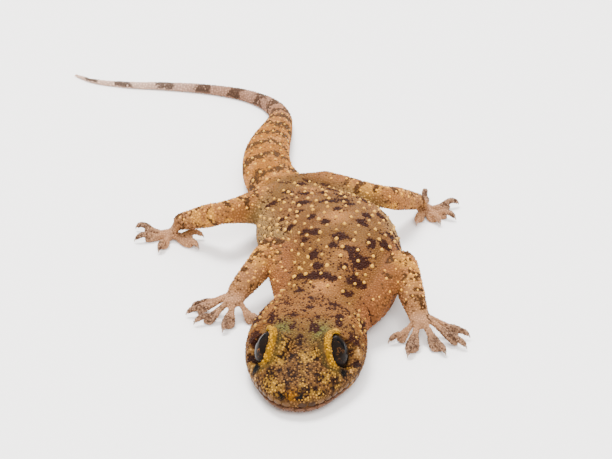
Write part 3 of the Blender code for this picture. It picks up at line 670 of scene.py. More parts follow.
# inwards is the way to a point on the spine, two millimetres over the floor
core = np.concatenate([spine_at(body["s"])[0], np.full((len(points), 1), 2.0)], axis=1)
inwards = unit(core - points)
on_head = (body["s"] < MOUTH_CORNER_AT + 0.3) & (body["held"] < 0.5)
above_mouth = points[:, 2] - mouth_height(body["s"])
groove = GROOVE_DEPTH * bell(above_mouth / 0.09) * np.clip((MOUTH_CORNER_AT - body["s"]) / 0.6, 0, 1)
lips = LIP_SWELL * bell((np.abs(above_mouth) - 0.3) / 0.2)
points += ((groove - lips) * on_head)[:, None] * inwards
for nostril in NOSTRILS:
    points += NOSTRIL_DEPTH * bell(np.linalg.norm(points - nostril, axis=1, keepdims=True) / 0.2) * inwards
for ear in EARS:
    offset = points - ear
    parts = offset @ head_ahead / 0.3, offset[:, 2] / 0.55, offset @ head_left / 1.2
    oval = np.sqrt(sum(part**2 for part in parts))
    points += (EAR_DEPTH * np.exp(-(oval**2.4)))[:, None] * inwards
set_corners(skin, points)
print("carved corners:", int((groove > 0.05).sum()))

# %% [markdown]
# ## The markings
#
# A Mediterranean house gecko is tan to pinkish above with broken dark brown blotches, olive yellow on the
# flanks, pale beneath, orange tan on the legs, and its tail fades to grey white with dark bands. Its head is
# finely spotted, with olive patches and yellow brows. The pattern is a function of place on the body alone,
# so the skin and every scale on it read their colour from the same function and agree. The large marks are
# set one by one, as ovals in the body's own measures.

# %% Where the marks lie
BLOTCHES = (  # distance along the spine, to the left, half length, half width, in millimetres
    (26.2, -1.3, 0.7, 0.55), (26.0, 2.1, 0.9, 0.65), (23.0, 0.0, 1.0, 1.0), (21.5, -0.5, 0.6, 0.6),
    (21.0, 1.0, 0.6, 1.1), (24.2, -2.4, 0.8, 0.5), (25.0, -3.4, 0.7, 0.5), (23.4, -3.3, 0.7, 0.5),
    (19.9, -2.1, 0.9, 0.7), (18.2, -1.3, 0.7, 0.6), (19.9, 2.2, 1.1, 1.0), (18.6, 1.0, 0.5, 0.5),
    (22.6, 2.9, 0.8, 0.6), (23.6, 4.2, 0.8, 0.6), (27.9, 2.8, 0.7, 0.6), (28.0, -2.5, 0.7, 0.5),
    (30.9, -3.3, 0.8, 0.6), (31.6, 0.6, 0.8, 1.5), (33.0, -2.2, 0.8, 0.7), (30.4, 1.6, 0.7, 0.6),
    (32.6, 3.7, 0.9, 0.7), (35.9, -0.8, 0.8, 0.6), (35.2, 0.6, 0.6, 0.5), (36.5, 2.3, 0.9, 0.7),
    (38.2, -2.0, 0.9, 0.6), (42.2, -1.6, 0.7, 0.6), (39.8, 2.5, 0.9, 0.7), (16.7, -0.5, 0.75, 1.5),
    (17.5, 2.6, 0.8, 1.0), (16.9, -2.8, 0.5, 0.8), (14.5, -1.6, 0.4, 0.6), (15.5, 2.4, 0.5, 0.6),
    (31.2, -4.6, 0.7, 0.6), (27.8, -4.5, 0.7, 0.5), (25.9, 4.9, 0.7, 0.5),
    (44.6, 1.7, 0.7, 0.6), (29.2, 4.6, 0.8, 0.6), (34.6, 4.8, 0.8, 0.7), (37.0, -4.0, 0.8, 0.7),
    (40.3, 0.1, 0.8, 0.6), (29.0, 0.2, 0.6, 0.5), (33.6, 1.9, 0.6, 0.5), (41.5, 1.2, 0.7, 0.5),
)
HEAD_MARKS = (  # the same, on the head
    (12.2, -2.4, 0.28, 0.55), (14.2, -1.6, 0.35, 0.5), (13.1, 0.0, 0.22, 0.9), (14.6, 1.3, 0.7, 0.45),
    (12.8, 2.3, 0.35, 0.8), (14.2, 3.8, 0.35, 0.45), (9.8, -3.1, 0.9, 0.3), (11.1, -4.6, 1.1, 0.4),
    (10.1, -1.1, 0.6, 0.45), (11.2, 0.0, 0.35, 0.45), (8.0, -1.1, 0.7, 0.36), (8.1, 0.8, 0.7, 0.46),
    (10.1, 2.8, 1.4, 0.35), (12.6, 4.7, 1.3, 0.5), (8.2, 4.2, 0.8, 0.6), (6.2, 4.6, 0.6, 0.5),
    (6.4, -0.4, 0.7, 0.35), (5.4, -2.0, 0.4, 0.35), (4.5, -0.6, 0.45, 0.5), (4.1, -1.4, 0.35, 0.3),
    (2.9, -2.4, 0.6, 0.42), (2.1, -0.4, 0.6, 0.42), (2.5, 1.9, 0.6, 0.44), (3.6, 2.3, 0.4, 0.4),
    (4.1, -3.8, 0.45, 0.4), (2.8, 3.2, 0.45, 0.46), (1.2, 1.7, 0.45, 0.28), (0.5, -1.2, 0.34, 0.36),
    (0.45, 0.55, 0.36, 0.32), (1.5, -2.5, 0.45, 0.3), (0.8, -1.9, 0.22, 0.2), (1.0, 0.95, 0.36, 0.3),
    (8.2, -4.4, 0.8, 0.5), (6.3, -4.7, 0.6, 0.45), (13.0, -4.6, 0.9, 0.4), (4.6, 4.4, 0.4, 0.3),
)
PALE_MARKS = (  # the same, pale, on the sides of the snout and behind the eyes
    (3.6, 3.5, 0.3, 0.2), (5.0, 4.3, 0.5, 0.2), (3.6, -3.8, 0.3, 0.2), (7.2, 4.7, 0.4, 0.3),
    (7.2, -4.7, 0.3, 0.25), (4.7, 3.6, 0.2, 0.16), (4.6, -4.3, 0.25, 0.14),
)
LEG_MARKS = (  # leg by leg: how far along, to its left, half length and half width, in shares and radii
    ((0.42, 0.2, 0.045, 0.7), (0.51, -0.1, 0.035, 0.9), (0.585, -0.1, 0.03, 0.6), (0.69, 0.45, 0.03, 0.8),
     (0.76, 0.2, 0.02, 0.4), (0.84, 0.4, 0.035, 0.75), (0.93, 0.5, 0.05, 0.8), (1.0, 0.5, 0.03, 0.5),
     (0.27, -0.4, 0.03, 0.4)),
    ((0.46, -0.2, 0.05, 0.8), (0.56, -0.3, 0.05, 0.6), (0.66, -0.35, 0.035, 0.55), (0.75, -0.35, 0.03, 0.55),
     (0.84, -0.35, 0.04, 0.55), (0.95, -0.2, 0.04, 0.6), (0.6, 0.6, 0.02, 0.3), (0.35, 0.2, 0.03, 0.5)),
    ((0.2, 0.0, 0.025, 0.9), (0.32, -0.1, 0.025, 0.9), (0.44, 0.0, 0.03, 0.8), (0.56, -0.2, 0.025, 0.9),
     (0.7, -0.2, 0.025, 0.8), (0.84, -0.3, 0.025, 0.8), (0.95, -0.2, 0.025, 0.8)),
    ((0.22, 0.1, 0.025, 0.8), (0.34, 0.2, 0.025, 0.8), (0.46, 0.1, 0.035, 0.8), (0.58, 0.2, 0.025, 0.8),
     (0.7, 0.1, 0.03, 0.8), (0.83, 0.1, 0.03, 0.8), (0.94, 0.2, 0.03, 0.7)),
)
TAIL_BANDS = (46.9, 51.4, 55.6, 59.4, 63.0, 66.3, 69.4, 72.6, 76.2, 79.8, 84.0, 88.9, 93.6, 97.8)
PALE_SADDLES = (15.6, 20.6, 27.2, 37.0)  # distances along the spine of the back's pale patches
print("marks on head and back:", len(BLOTCHES + HEAD_MARKS + PALE_MARKS))

# %% [markdown]
# Colours are mixed in linear light, as pigments lie over one another on the skin, and each layer has a share
# from 0 to 1 for each point. Patches without a place of their own come from a smooth noise: the size of its
# grid is the size of the patches.


# %% Colours, layers and noise
def linear(hex_colour):
    """An sRGB hex colour as linear red, green and blue: the sRGB curve undone."""
    srgb = np.array([int(hex_colour[k : k + 2], 16) for k in (0, 2, 4)]) / 255
    return np.where(srgb <= 0.04045, srgb / 12.92, ((srgb + 0.055) / 1.055) ** 2.4)

def paint(hex_colour):
    """A hex colour as a shader takes it: linear and opaque."""
    return (*linear(hex_colour), 1.0)


HASH_PRIMES = (73856093, 19349663, 83492791)  # these make one well mixed number of a grid cell's three


def cell_noise(points, size, seed):
    """Smooth noise from 0 to 1: random numbers on a grid of this size, eased between its eight corners."""
    at = points / size + 1000.0
    base = np.floor(at).astype(np.int64)
    part = at - base
    part = part * part * (3 - 2 * part)
    total = np.zeros(len(points))
    for corner in range(8):
        step = np.array([(corner >> k) & 1 for k in range(3)])
        cell = base + step
        x, y, z = (cell * HASH_PRIMES).T
        mixed = x ^ y ^ z ^ (seed * 2654435761)
        value = ((mixed ^ (mixed >> 13)) * 1274126177 % 1000003) / 1000003.0
        total += value * np.prod(np.where(step, part, 1 - part), axis=1)
    return total


def blend(colour, other, share):
    """From one colour towards another by a share for each point, or by one for all."""
    return colour + (other - colour) * np.clip(share, 0, 1)[..., None]


def layered(colour, *layers):
    """A colour with others laid over it in turn, each a hex colour and its share."""
    for hex_colour, share in layers:
        colour = blend(colour, linear(hex_colour), share)
    return colour


def plain(hex_colour, points):
    """One hex colour for every point."""
    return np.tile(linear(hex_colour), (len(points), 1))


def inside(marks, s, t, wobble):
    """How far inside the nearest of some oval marks each place is: 1 in its middle, 0 at its frayed edge."""
    best = np.zeros(len(s))
    for a, b, length, width in marks:
        d = np.sqrt(((s - a) / length) ** 2 + ((t - b) / width) ** 2)
        best = np.maximum(best, 1.2 - d + wobble)
    return best


print("the back's tan in linear light:", linear("7E5128").round(3))

# %% [markdown]
# The function first gives each region its ground colour, then works out the share of scales that are dark at
# each place. A scale turns dark when its own random number is below that share. So a blotch is solid in its
# middle and frays into single dark scales at its edge, as it does on the living skin.

# %% Ground colours
BLACK = "090909"


def ground_colours(points, body):
    """Each region's own colour, before any dark scales: back, flank, belly, head, tail, legs and feet."""
    s, t, z, along, held = (body[key] for key in ("s", "t", "z", "along", "held"))
    medium, broad = cell_noise(points, 0.9, 2), cell_noise(points, 2.6, 3)
    side = step_up(np.abs(t) / np.maximum(body["half"], 0.4), 0.6, 0.92)
    below = step_up(1.9 - z, 0.0, 1.2)
    halo = step_up(inside(BLOTCHES, s, t, 0.5 * (medium - 0.5)) + 0.25, 0.0, 0.8)
    broken = (0.5 + 0.2 * step_up(s, 18, 24)) * step_up(cell_noise(points, 1.3, 5), 0.42, 0.78)
    trunk = layered(
        plain("7E5128", points),
        ("7B532F", step_up(s, 19.0, 24.0) * 0.85),
        ("73512D", step_up(s, 34.0, 38.0) * 0.7),
        *[("B97B40", 0.85 * bell((s - at) / 1.6, (t + 0.1) / 1.3)) for at in PALE_SADDLES],
        ("5E391B", np.maximum(0.65 * halo, broken)),
        ("6A4A1D", 0.35 * step_up(broad, 0.4, 0.7)),
        ("834F2B", side * 0.8),
        ("8B6F42", side * step_up(s, 24.0, 28.0) * 0.75),
        ("7A4728", below),
        ("C18156", step_up(0.5 - z, 0.0, 0.4)))
    lip = step_up(mouth_height(s) + 0.8 - z, 0.0, 0.3) * step_up(10.0 - s, 0.0, 1.0)
    chin = step_up(mouth_height(s) - z, 0.0, 0.12)
    face = layered(
        plain("744E26", points),
        ("A2752B", step_up(medium, 0.35, 0.65) * step_up(6.8 - s, 0.0, 2.0)),
        ("6B411A", step_up(medium, 0.45, 0.75) * step_up(s, 6.0, 9.0)),
        ("84552A", step_up(s, 9.3, 11.0) * 0.75),
        ("935C0A", step_up(1.3 - s, 0.0, 0.9) * bell((t + 0.3) / 0.9)),
        ("635E2D", 1.2 * bell((s - 7.8) / 1.25, (t + 2.0) / 0.9)),
        ("635E2D", 1.2 * bell((s - 7.3) / 1.5, (t - 1.5) / 0.9)),
        ("5A441D", 0.6 * bell((s - 7.0) / 1.2, (t + 0.3) / 1.6)),
        ("5E4127", lip * 0.85),
        ("5E3F2C", chin),
        ("BE825A", chin * step_up(0.6 - z, 0.0, 0.3)))
    head, tail = step_up(14.4 - s, 0.0, 1.4), step_up(s, 43.0, 46.5)
    trunk = layered(
        blend(trunk, face, head),
        ("996025", tail * (1 - 0.4 * below)),
        ("BA7E42", tail * step_up(medium, 0.45, 0.7) * 0.7),
        ("98715B", step_up(s, 62.0, 76.0)),
        ("CDAB96", step_up(s, 80.0, 94.0)))
    leg = layered(
        plain("9A6434", points),
        ("C68934", step_up(medium, 0.42, 0.7) * 0.8),
        ("84512B", step_up(0.45 - along, 0.0, 0.35) * 0.75),
        ("946541", step_up(along, 0.6, 0.9) * 0.8),
        ("A77956", step_up(along, 0.95, 1.15)),
        ("8F6B51", step_up(along, 1.3, 1.7)))
    colour = blend(trunk, leg, held * step_up(body["trunk"], 1.0, 1.4))
    return colour, dict(side=side, head=head, lip=lip, chin=chin)


# %% [markdown]
# The dark scales gather in blotches and broken patches on the trunk, in spots and speckle on the head, in
# bands on the tail, and in bars across the legs. Each pattern gives a share, and the greatest one counts.


# %% The share of dark scales
def dark_share(points, body, place):
    """The share of scales that are dark at each place, from blotches, bands and broken patches."""
    s, t, z, along = (body[key] for key in ("s", "t", "z", "along"))
    fine = cell_noise(points, 0.45, 1)
    wobble = (cell_noise(points, 0.9, 4) - 0.5) * 0.6 + (fine - 0.5) * 0.7
    share = 0.06 + 0.3 * step_up(cell_noise(points, 1.5, 8), 0.55, 0.8)
    share = np.maximum(share * (s > 13), 0.97 * step_up(inside(BLOTCHES, s, t, wobble), 0.05, 0.55))
    flank = place["side"] * step_up(cell_noise(points, 1.2, 14), 0.66, 0.8) * (s > 15)
    share = np.maximum(share, 0.85 * flank) * step_up(z, 1.0, 1.9)
    # on the head
    snout = step_up(6.8 - s, 0.0, 1.5)
    speckle = 0.2 + 0.12 * snout + (0.3 - 0.15 * snout) * step_up(cell_noise(points, 0.6, 6), 0.45, 0.7)
    spots = (0.86 - 0.22 * snout) * step_up(inside(HEAD_MARKS, s, t, wobble) + 0.15, 0.1, 0.6)
    on_head = np.maximum(speckle, spots) * (1 - place["chin"]) * (1 - 0.45 * place["lip"])
    on_head *= 1 - np.clip(inside(PALE_MARKS, s, t, wobble * 0.3), 0, 1)
    share = share + (on_head - share) * place["head"]
    # on the tail
    bands = np.zeros(len(s))
    for at in TAIL_BANDS:
        late = np.clip((at - 60) / 25, 0, 1)
        from_band = np.abs(s - at + 0.3 * np.sin(t * 2.0 + at * 3.0))
        bands = np.maximum(bands, 1.0 - from_band / (1.25 + 0.3 * late) + wobble * (0.9 - 0.5 * late))
    bands = step_up(bands, 0.1, 0.6) * (s > 44.5) * step_up(z, 0.1, 0.4)
    share = np.maximum(share, (0.8 + 0.15 * step_up(s, 70, 80)) * bands)
    # on the legs
    flecks = 0.08 + 0.45 * step_up(cell_noise(points, 0.7, 9), 0.62, 0.82)
    for number, marks in enumerate(LEG_MARKS):
        barred = inside(marks, along + 0.02 * (fine - 0.5), body["lateral"], wobble * 1.5)
        flecks = np.maximum(flecks, 0.85 * step_up(barred * (body["leg"] == number), 0.1, 0.8))
    flecks = flecks * step_up(z, 0.3, 1.0) * (1 - 0.35 * step_up(along, 0.95, 1.2))
    flecks = np.maximum(flecks, 0.45 * step_up(along, 1.3, 1.6) * step_up(z, 0.2, 0.5))
    return share + (flecks - share) * body["held"]


# %% [markdown]
# Both come together here. The face gets its finer marks last: the yellow fringe over each eye with a dark
# border, painted shade as a dark line along the groove of the mouth, and black painted shade in sockets,
# nostrils and ears, which no light reaches.


# %% The marking function
def markings(points, body, grain):
    """Linear colours of skin or scales on the body. Grain is each one's own random number from 0 to 1."""
    s, t, z, held = (body[key] for key in ("s", "t", "z", "held"))
    trunk = held < 0.5
    colour, place = ground_colours(points, body)
    share = dark_share(points, body, place)
    dark = np.maximum(step_up(share - grain, -0.07, 0.07), 0.3 * place["head"] * step_up(share, 0.45, 0.75))
    deep = layered(
        plain("2E1309", points),
        ("513419", np.maximum(step_up(s, 43, 47) * trunk, held * 0.8)),
        ("513A2C", np.maximum(step_up(s, 62, 76) * trunk, held * step_up(body["along"], 0.95, 1.3))),
        ("624F44", step_up(s, 80, 92) * trunk),
        ("251209", place["head"] * step_up(8.0 - s, 0.0, 3.0)))
    pale = 0.85 * np.clip(inside(PALE_MARKS, s, t, 0.0), 0, 1) * place["head"] * (grain > 0.25)
    colour = layered(blend(colour, deep, dark), ("CA934B", pale))
    for eye in EYES.values():
        offset, depth, reach = sight(points, eye)
        away = np.hypot(reach - LID_RING, depth - LID_OUTWARD)
        top = step_up(offset @ eye["over"] + 0.9 * (offset @ eye["ahead"]), 0.0, 0.8)
        border = bell((away - 0.62) / 0.26) * (reach > LID_RING - 0.3)
        yellow = layered(plain("B27D09", points), ("5D4209", step_up(grain, 0.65, 0.9)))
        colour = layered(colour, ("503F19", 0.75 * border * top))
        colour = blend(colour, yellow, (1 - step_up(away, 0.2, 0.4)) * top)
        # painted shade: black in the socket round the eye, which no light reaches
        socket = (reach < OPENING * 1.04) & (depth > -0.15) & (depth < 1.2)
        ahead, beside = offset @ head_ahead, offset @ (head_left * eye["side"])
        corner = bell((ahead - 1.9) / 0.5, (beside - 0.75) / 0.5, (offset[:, 2] + 1.0) / 0.5)
        colour = layered(colour, (BLACK, 1.0 * socket), (BLACK, 1.6 * corner))
    # painted shade: a dark line along the mouth's groove, and black in nostrils and ears
    line = bell((z - mouth_height(s)) / 0.07) * (s < MOUTH_CORNER_AT) * trunk
    pits = [(BLACK, 1.4 * bell(np.linalg.norm(points - pit, axis=1) / 0.24)) for pit in NOSTRILS + EARS]
    return np.clip(layered(colour, ("2D0B09", 0.8 * line), *pits), 0, 1)


# %% [markdown]
# The skin takes the marking at each of its corners, with a fine noise in place of a scale's own number. It
# is darkened with painted shade, the shade of the gaps between the scales, where alone it is seen, most of
# all on the snout.

# %% Colours for the skin
GAP_SHADE = 0.62  # painted shade: the skin seen between the scales is darkened to this share, the shade of the gaps


def give_colours(made, colours):
    """Stores one colour for each corner, as the attribute that the materials read."""
    held = made.data.color_attributes.new("marking", "FLOAT_COLOR", "POINT")
    opaque = np.concatenate([colours, np.ones((len(colours), 1))], axis=1)
    held.data.foreach_set("color", opaque.astype(np.float32).ravel())


points = corner_positions(skin)
body = anatomy(points)
# painted shade in the gaps between the scales, deeper on the snout
shade = GAP_SHADE - 0.2 * step_up(8.0 - body["s"], 0.0, 2.0)
give_colours(skin, markings(points, body, cell_noise(points, 0.2, 12)) * shade[:, None])
print("marked corners:", len(points))

# %% [markdown]
# ## Skin material
#
# The skin between the scales is dry keratin over soft tissue: satin, a little translucent, and finely
# creased. Its colour comes from the marking attribute. The creases are a noise of about 0.1 mm, drawn as a
# bump, since they are too fine for the mesh. The sheen is set low, because scales this small shade one
# another, and most of the light that they would mirror is lost between them.


# %% Nodes and keratin
def fill(node, inputs):
    """Gives a node its inputs: another node's socket is linked, and any other value is set on the input."""
    for key, value in inputs.items():
        if isinstance(value, bpy.types.NodeSocket):
            node.id_data.links.new(value, node.inputs[key])
        else:
            node.inputs[key].default_value = value


def add_node(tree, kind, settings=None, inputs=None):
    """One node with its own settings, and its inputs linked or set."""
    node = tree.nodes.new(kind)
    for key, value in (settings or {}).items():
        setattr(node, key, value)
    fill(node, inputs or {})
    return node


def new_material(name):
    """An empty material with its Principled shader, ready for more nodes."""
    made = bpy.data.materials.new(name)
    made.use_nodes = True
    return made, made.node_tree, made.node_tree.nodes["Principled BSDF"]


def speckle_of(tree, size, detail):
    """A noise from 0 to 1 over the object, whose grains are about this many millimetres wide."""
    place = add_node(tree, "ShaderNodeTexCoord").outputs["Object"]
    noise = {"Vector": place, "Scale": 1 / (size * MM), "Detail": detail}
    return add_node(tree, "ShaderNodeTexNoise", inputs=noise).outputs["Fac"]


def ranged(tree, value, low, high, start=0.0, end=1.0):
    """A value between start and end, brought evenly to between low and high."""
    ends = {"Value": value, "From Min": start, "From Max": end, "To Min": low, "To Max": high}
    return add_node(tree, "ShaderNodeMapRange", inputs=ends).outputs[0]


def keratin(name, roughness, crease, height, shine, soft):
    """Scaly skin: the marking colour, slightly varied, over satin keratin with fine creases."""
    made, tree, shader = new_material(name)
    grain = speckle_of(tree, crease, 3.0)
    marking = add_node(tree, "ShaderNodeAttribute", {"attribute_name": "marking"}).outputs["Color"]
    tint = {0: marking, "Scale": ranged(tree, grain, 0.82, 1.16)}
    bump = {"Height": grain, "Strength": 0.6, "Distance": height * MM}
    fill(shader, {
        "Base Color": add_node(tree, "ShaderNodeVectorMath", {"operation": "SCALE"}, tint).outputs[0],
        "Roughness": ranged(tree, grain, roughness - 0.08, roughness + 0.1),
        "Normal": add_node(tree, "ShaderNodeBump", inputs=bump).outputs[0],
        "IOR": 1.5, "Specular IOR Level": shine, "Subsurface Weight": soft,
        "Subsurface Radius": (0.9, 0.45, 0.25), "Subsurface Scale": 0.4 * MM,
    })
    return made


# dry skin over soft tissue: the roughest, and a little light goes through it
skin_keratin = keratin("soft_keratin_skin", 0.62, 0.1, 0.03, 0.05, 0.08)
# small horny beads on the skin: satin, each with a faint light on its top
scale_keratin = keratin("satin_keratin_scales", 0.5, 0.18, 0.012, 0.06, 0.0)
# thicker worn keratin of lips and tubercles: smoother, so it catches the light
plate_keratin = keratin("smooth_keratin_plates", 0.38, 0.25, 0.01, 0.12, 0.0)
print("materials:", skin_keratin.name, scale_keratin.name, plate_keratin.name)

# %% The skin takes the place of the solids' flesh
skin.data.materials.clear()
skin.data.materials.append(skin_keratin)
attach(skin, "root")
flesh = [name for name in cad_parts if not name.startswith("eye")]
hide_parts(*flesh)
print("solids that the skin stands for:", len(flesh))

# %% [markdown]
# ## Bead scales
#
# The grain of a gecko's skin is thousands of round beads about 0.2 mm across. Geometry Nodes scatters points
# on the skin no nearer than the beads' spacing, which gives the real, irregular packing, and numpy then sets
# a low six-sided dome on every point. Each bead takes one colour, that of the marking at its middle, so the
# edges of blotches break up bead by bead as on the animal. First each corner of the skin gets the number of
# its region.

# %% Regions, and points scattered over one of them
REGIONS = {  # spacing in millimetres, a bead's height in its radii, slot
    "head": (0.2, 0.75, "skin_head"),
    "back": (0.215, 0.75, "skin_back"),
    "belly": (0.36, 0.45, "skin_back"),
    "tail": (0.24, 0.75, "skin_tail"),
    "legs": (0.225, 0.75, "skin_limb"),
    "feet": (0.19, 0.45, "skin_foot"),
    "snout": (0.205, 0.5, "skin_head"),
}
in_eye = np.zeros(len(points), bool)
for eye in EYES.values():
    offset, depth, reach = sight(points, eye)
    in_eye |= (reach < OPENING * 1.08) & (depth > -0.25)
s, z, leg = body["s"], body["z"], body["held"] > 0.5
head, back, belly, tail, legs, feet, snout, bare = range(8)  # in the order of the table
on_foot, on_snout = leg & (body["along"] > 0.95), (s < 5.6) & (z > mouth_height(s))
region = np.select(  # the first that holds counts
    (in_eye, on_foot, leg, on_snout, s < 13.6, s > 44.0, z < 1.3),
    (bare, feet, legs, snout, head, tail, belly), back)
held = skin.data.attributes.new("region", "INT", "POINT")
held.data.foreach_set("value", region.astype(np.int32))


def scattered(made, name, number, spacing, seed):
    """Points and normals spread over the corners of one region, never nearer than the spacing in mm."""
    tree = bpy.data.node_groups.new("scatter_" + name, "GeometryNodeTree")
    for way in ("INPUT", "OUTPUT"):
        tree.interface.new_socket("Geometry", in_out=way, socket_type="NodeSocketGeometry")
    source = add_node(tree, "NodeGroupInput")
    named = add_node(tree, "GeometryNodeInputNamedAttribute", {"data_type": "INT"}, {"Name": "region"})
    chosen = add_node(tree, "FunctionNodeCompare", {"data_type": "INT", "operation": "EQUAL"})
    first, second = [socket for socket in chosen.inputs if socket.enabled]
    tree.links.new(named.outputs[0], first)
    second.default_value = number
    spread = add_node(tree, "GeometryNodeDistributePointsOnFaces", {"distribute_method": "POISSON"}, {
        "Mesh": source.outputs[0], "Selection": chosen.outputs[0], "Seed": seed,
        "Distance Min": spacing * MM, "Density Max": 3.0 / (spacing * MM) ** 2,
    })
    kind = {"data_type": "FLOAT_VECTOR", "domain": "POINT"}
    stored = add_node(tree, "GeometryNodeStoreNamedAttribute", kind, {
        "Geometry": spread.outputs["Points"], "Name": "outward", "Value": spread.outputs["Normal"],
    })
    corners = add_node(tree, "GeometryNodePointsToVertices", inputs={"Points": stored.outputs[0]})
    add_node(tree, "NodeGroupOutput", inputs={0: corners.outputs[0]})
    modifier = made.modifiers.new("scatter", "NODES")
    modifier.node_group = tree
    evaluated = made.evaluated_get(bpy.context.evaluated_depsgraph_get())
    mesh = evaluated.to_mesh()
    places = read_vectors(mesh.vertices, "co") / MM
    normals = unit(read_vectors(mesh.attributes["outward"].data, "vector"))
    evaluated.to_mesh_clear()
    made.modifiers.remove(modifier)
    bpy.data.node_groups.remove(tree)
    return places, normals


print({name: int((region == number).sum()) for number, name in enumerate(REGIONS)})

# %% [markdown]
# A bead is a six-sided dome: a foot ring just under the skin, a shoulder ring and a top. For the export each
# bead also needs a small patch of its own on a flat map of the skin, so that its colour is kept. The map
# lays the trunk out as one long band, by distance along the spine and angle round it, and the legs as four
# more.


# %% Domes from arrays, and their places on the flat map
def dome(sides, rings):
    """A unit dome: rings at given radius and height shares round a top point, closed beneath by one face."""
    turn, side = turns(sides), np.arange(sides)
    corners = [np.stack([r * np.cos(turn), r * np.sin(turn), np.full(sides, h)], -1) for r, h in rings]
    last = (len(rings) - 1) * sides
    cap = np.stack([last + side, last + (side + 1) % sides, np.full(sides, len(rings) * sides)], -1)
    return np.concatenate(corners + [[[0, 0, 1.0]]]), tube_faces(len(rings), sides), cap, side[::-1][None, :]


def unwrap(places, body):
    """Where body points lie on the flat map: along and round the trunk above, and below it the legs in four
    bands."""
    turn = np.arctan2(places[:, 2] - body["widest"], body["t"]) / (2 * math.pi) + 0.5
    trunk = np.stack([0.02 + 0.95 * body["s"] / TAIL_TIP_AT, 0.36 + 0.62 * turn], -1)
    round_leg = np.arctan2(places[:, 2] - 2.0, places[:, 0] - places[:, 1]) / (2 * math.pi) + 0.5
    along_leg = 0.02 + 0.245 * body["leg"] + 0.22 * np.clip(body["along"] / 2, 0, 1)
    return np.where(body["held"][:, None] > 0.5, np.stack([along_leg, 0.02 + 0.3 * round_leg], -1), trunk)


SCALE_FLOOR = 0.004  # no scale goes nearer to the floor
PATCH = 0.0015  # a dome's radius on the flat map


def studded(name, places, normals, sizes, heights, colours, form, material, stretch=1.0,
            lie=head_ahead):
    """One piece made of many domes: each dome's frame is its normal, the body's length across it, and the
    third way square to both. Its corners are the place plus the form's parts along these three, scaled."""
    corners, *face_sets = form
    count, per = len(places), len(corners)
    along = unit(lie - np.sum(lie * normals, axis=1, keepdims=True) * normals)
    ways = (along, sizes * stretch), (np.cross(normals, along), sizes), (normals, heights)
    shape = places[:, None] + sum(
        corners[None, :, k, None] * way[:, None] * size[:, None, None] for k, (way, size) in enumerate(ways))
    shape[..., 2] = np.maximum(shape[..., 2], SCALE_FLOOR)
    first = (np.arange(count) * per)[:, None, None]
    sets = [(faces[None] + first).reshape(-1, faces.shape[1]) for faces in face_sets]
    made = new_mesh(name, shape.reshape(-1, 3), *sets)
    give_colours(made, np.repeat(np.clip(colours, 0, 1), per, axis=0))
    flat = unwrap(places, anatomy(places))[:, None] + corners[None, :, :2] * PATCH
    give_flat_map(made, "OFBake", flat.reshape(-1, 2), *sets)
    made.data.materials.append(material)
    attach(made, "root")
    print(name, count, "domes,", sum(len(faces) * (faces.shape[1] - 2) for faces in sets), "triangles")


BEAD = dome(6, ((1.0, -0.6), (0.8, 0.55)))
print("corners of a bead:", len(BEAD[0]))

# %% [markdown]
# ## Tubercles
#
# Among the beads stand larger pointed scales, the tubercles, in fairly regular rows along the back, in rings
# round the tail, in a few lines on temples and neck, and in rows of three over the legs. They are pale, 0.3
# to 0.5 mm across, ridged along the body, and catch the light. They are set out on the trunk's own surface,
# by row and by angle, each row half a step on from the last.

# %% Places of the tubercles
BACK_ROWS = np.arange(8.6, 44.0, 1.4)  # distances along the spine
TAIL_RINGS = np.arange(45.4, 68.0, 2.0)
TAIL_TURNS = np.radians((24, 54, 80, 104, 128, 156))
NECK_LINES = (  # first and last distance along the spine, and to the left
    (14.3, 19.7, -3.7, -2.5), (13.4, 18.7, 4.2, 3.1), (9.9, 13.9, -4.6, -3.5), (10.0, 13.2, 4.7, 4.2),
)
NECK_STEP = 0.75
TUBERCLE = dome(8, ((1.0, -0.4), (0.86, 0.2), (0.45, 0.72)))


def tubercle_places():
    """Distances, angles and sizes of the tubercles: staggered rows along the back, rings round the tail and
    lines on the neck. An angle's powered cosine is the share of the half width, so the lines' angles are the
    arc cosines of their shares with the power undone."""
    places = []
    for number, s in enumerate(BACK_ROWS):
        count = max(4, round(np.interp(s, SECTIONS[:, 0], SECTIONS[:, 1]) * 2.5 / 1.38))
        turn = (np.arange(count) + 0.5 * (number % 2) + 0.25) / count * math.radians(156) + math.radians(12)
        size = (0.205 if s > 15 else 0.14) * rng.uniform(0.8, 1.15, count)
        keep = (s > 15) | (np.abs(np.cos(turn)) > 0.55)  # none on the crown of the head
        places.append(np.stack([np.full(count, s), turn, size], -1)[keep])
    for s in TAIL_RINGS:
        size = np.interp(s, (45, 68), (0.2, 0.12)) * rng.uniform(0.8, 1.15, len(TAIL_TURNS))
        places.append(np.stack([np.full(len(TAIL_TURNS), s), TAIL_TURNS, size], -1))
    for start, end, from_middle, to_middle in NECK_LINES:
        count = round((end - start) / NECK_STEP)
        s = np.linspace(start, end, count)
        share = np.linspace(from_middle, to_middle, count) / np.interp(s, SECTIONS[:, 0], SECTIONS[:, 1])
        turn = np.arccos(np.sign(share) * np.abs(share) ** (BACK_POWER / 2))
        places.append(np.stack([s, turn, rng.uniform(0.13, 0.2, count)], -1))
    places = np.concatenate(places)
    return places + rng.normal(0, 1, places.shape) * (0.09, 0.018, 0.0)


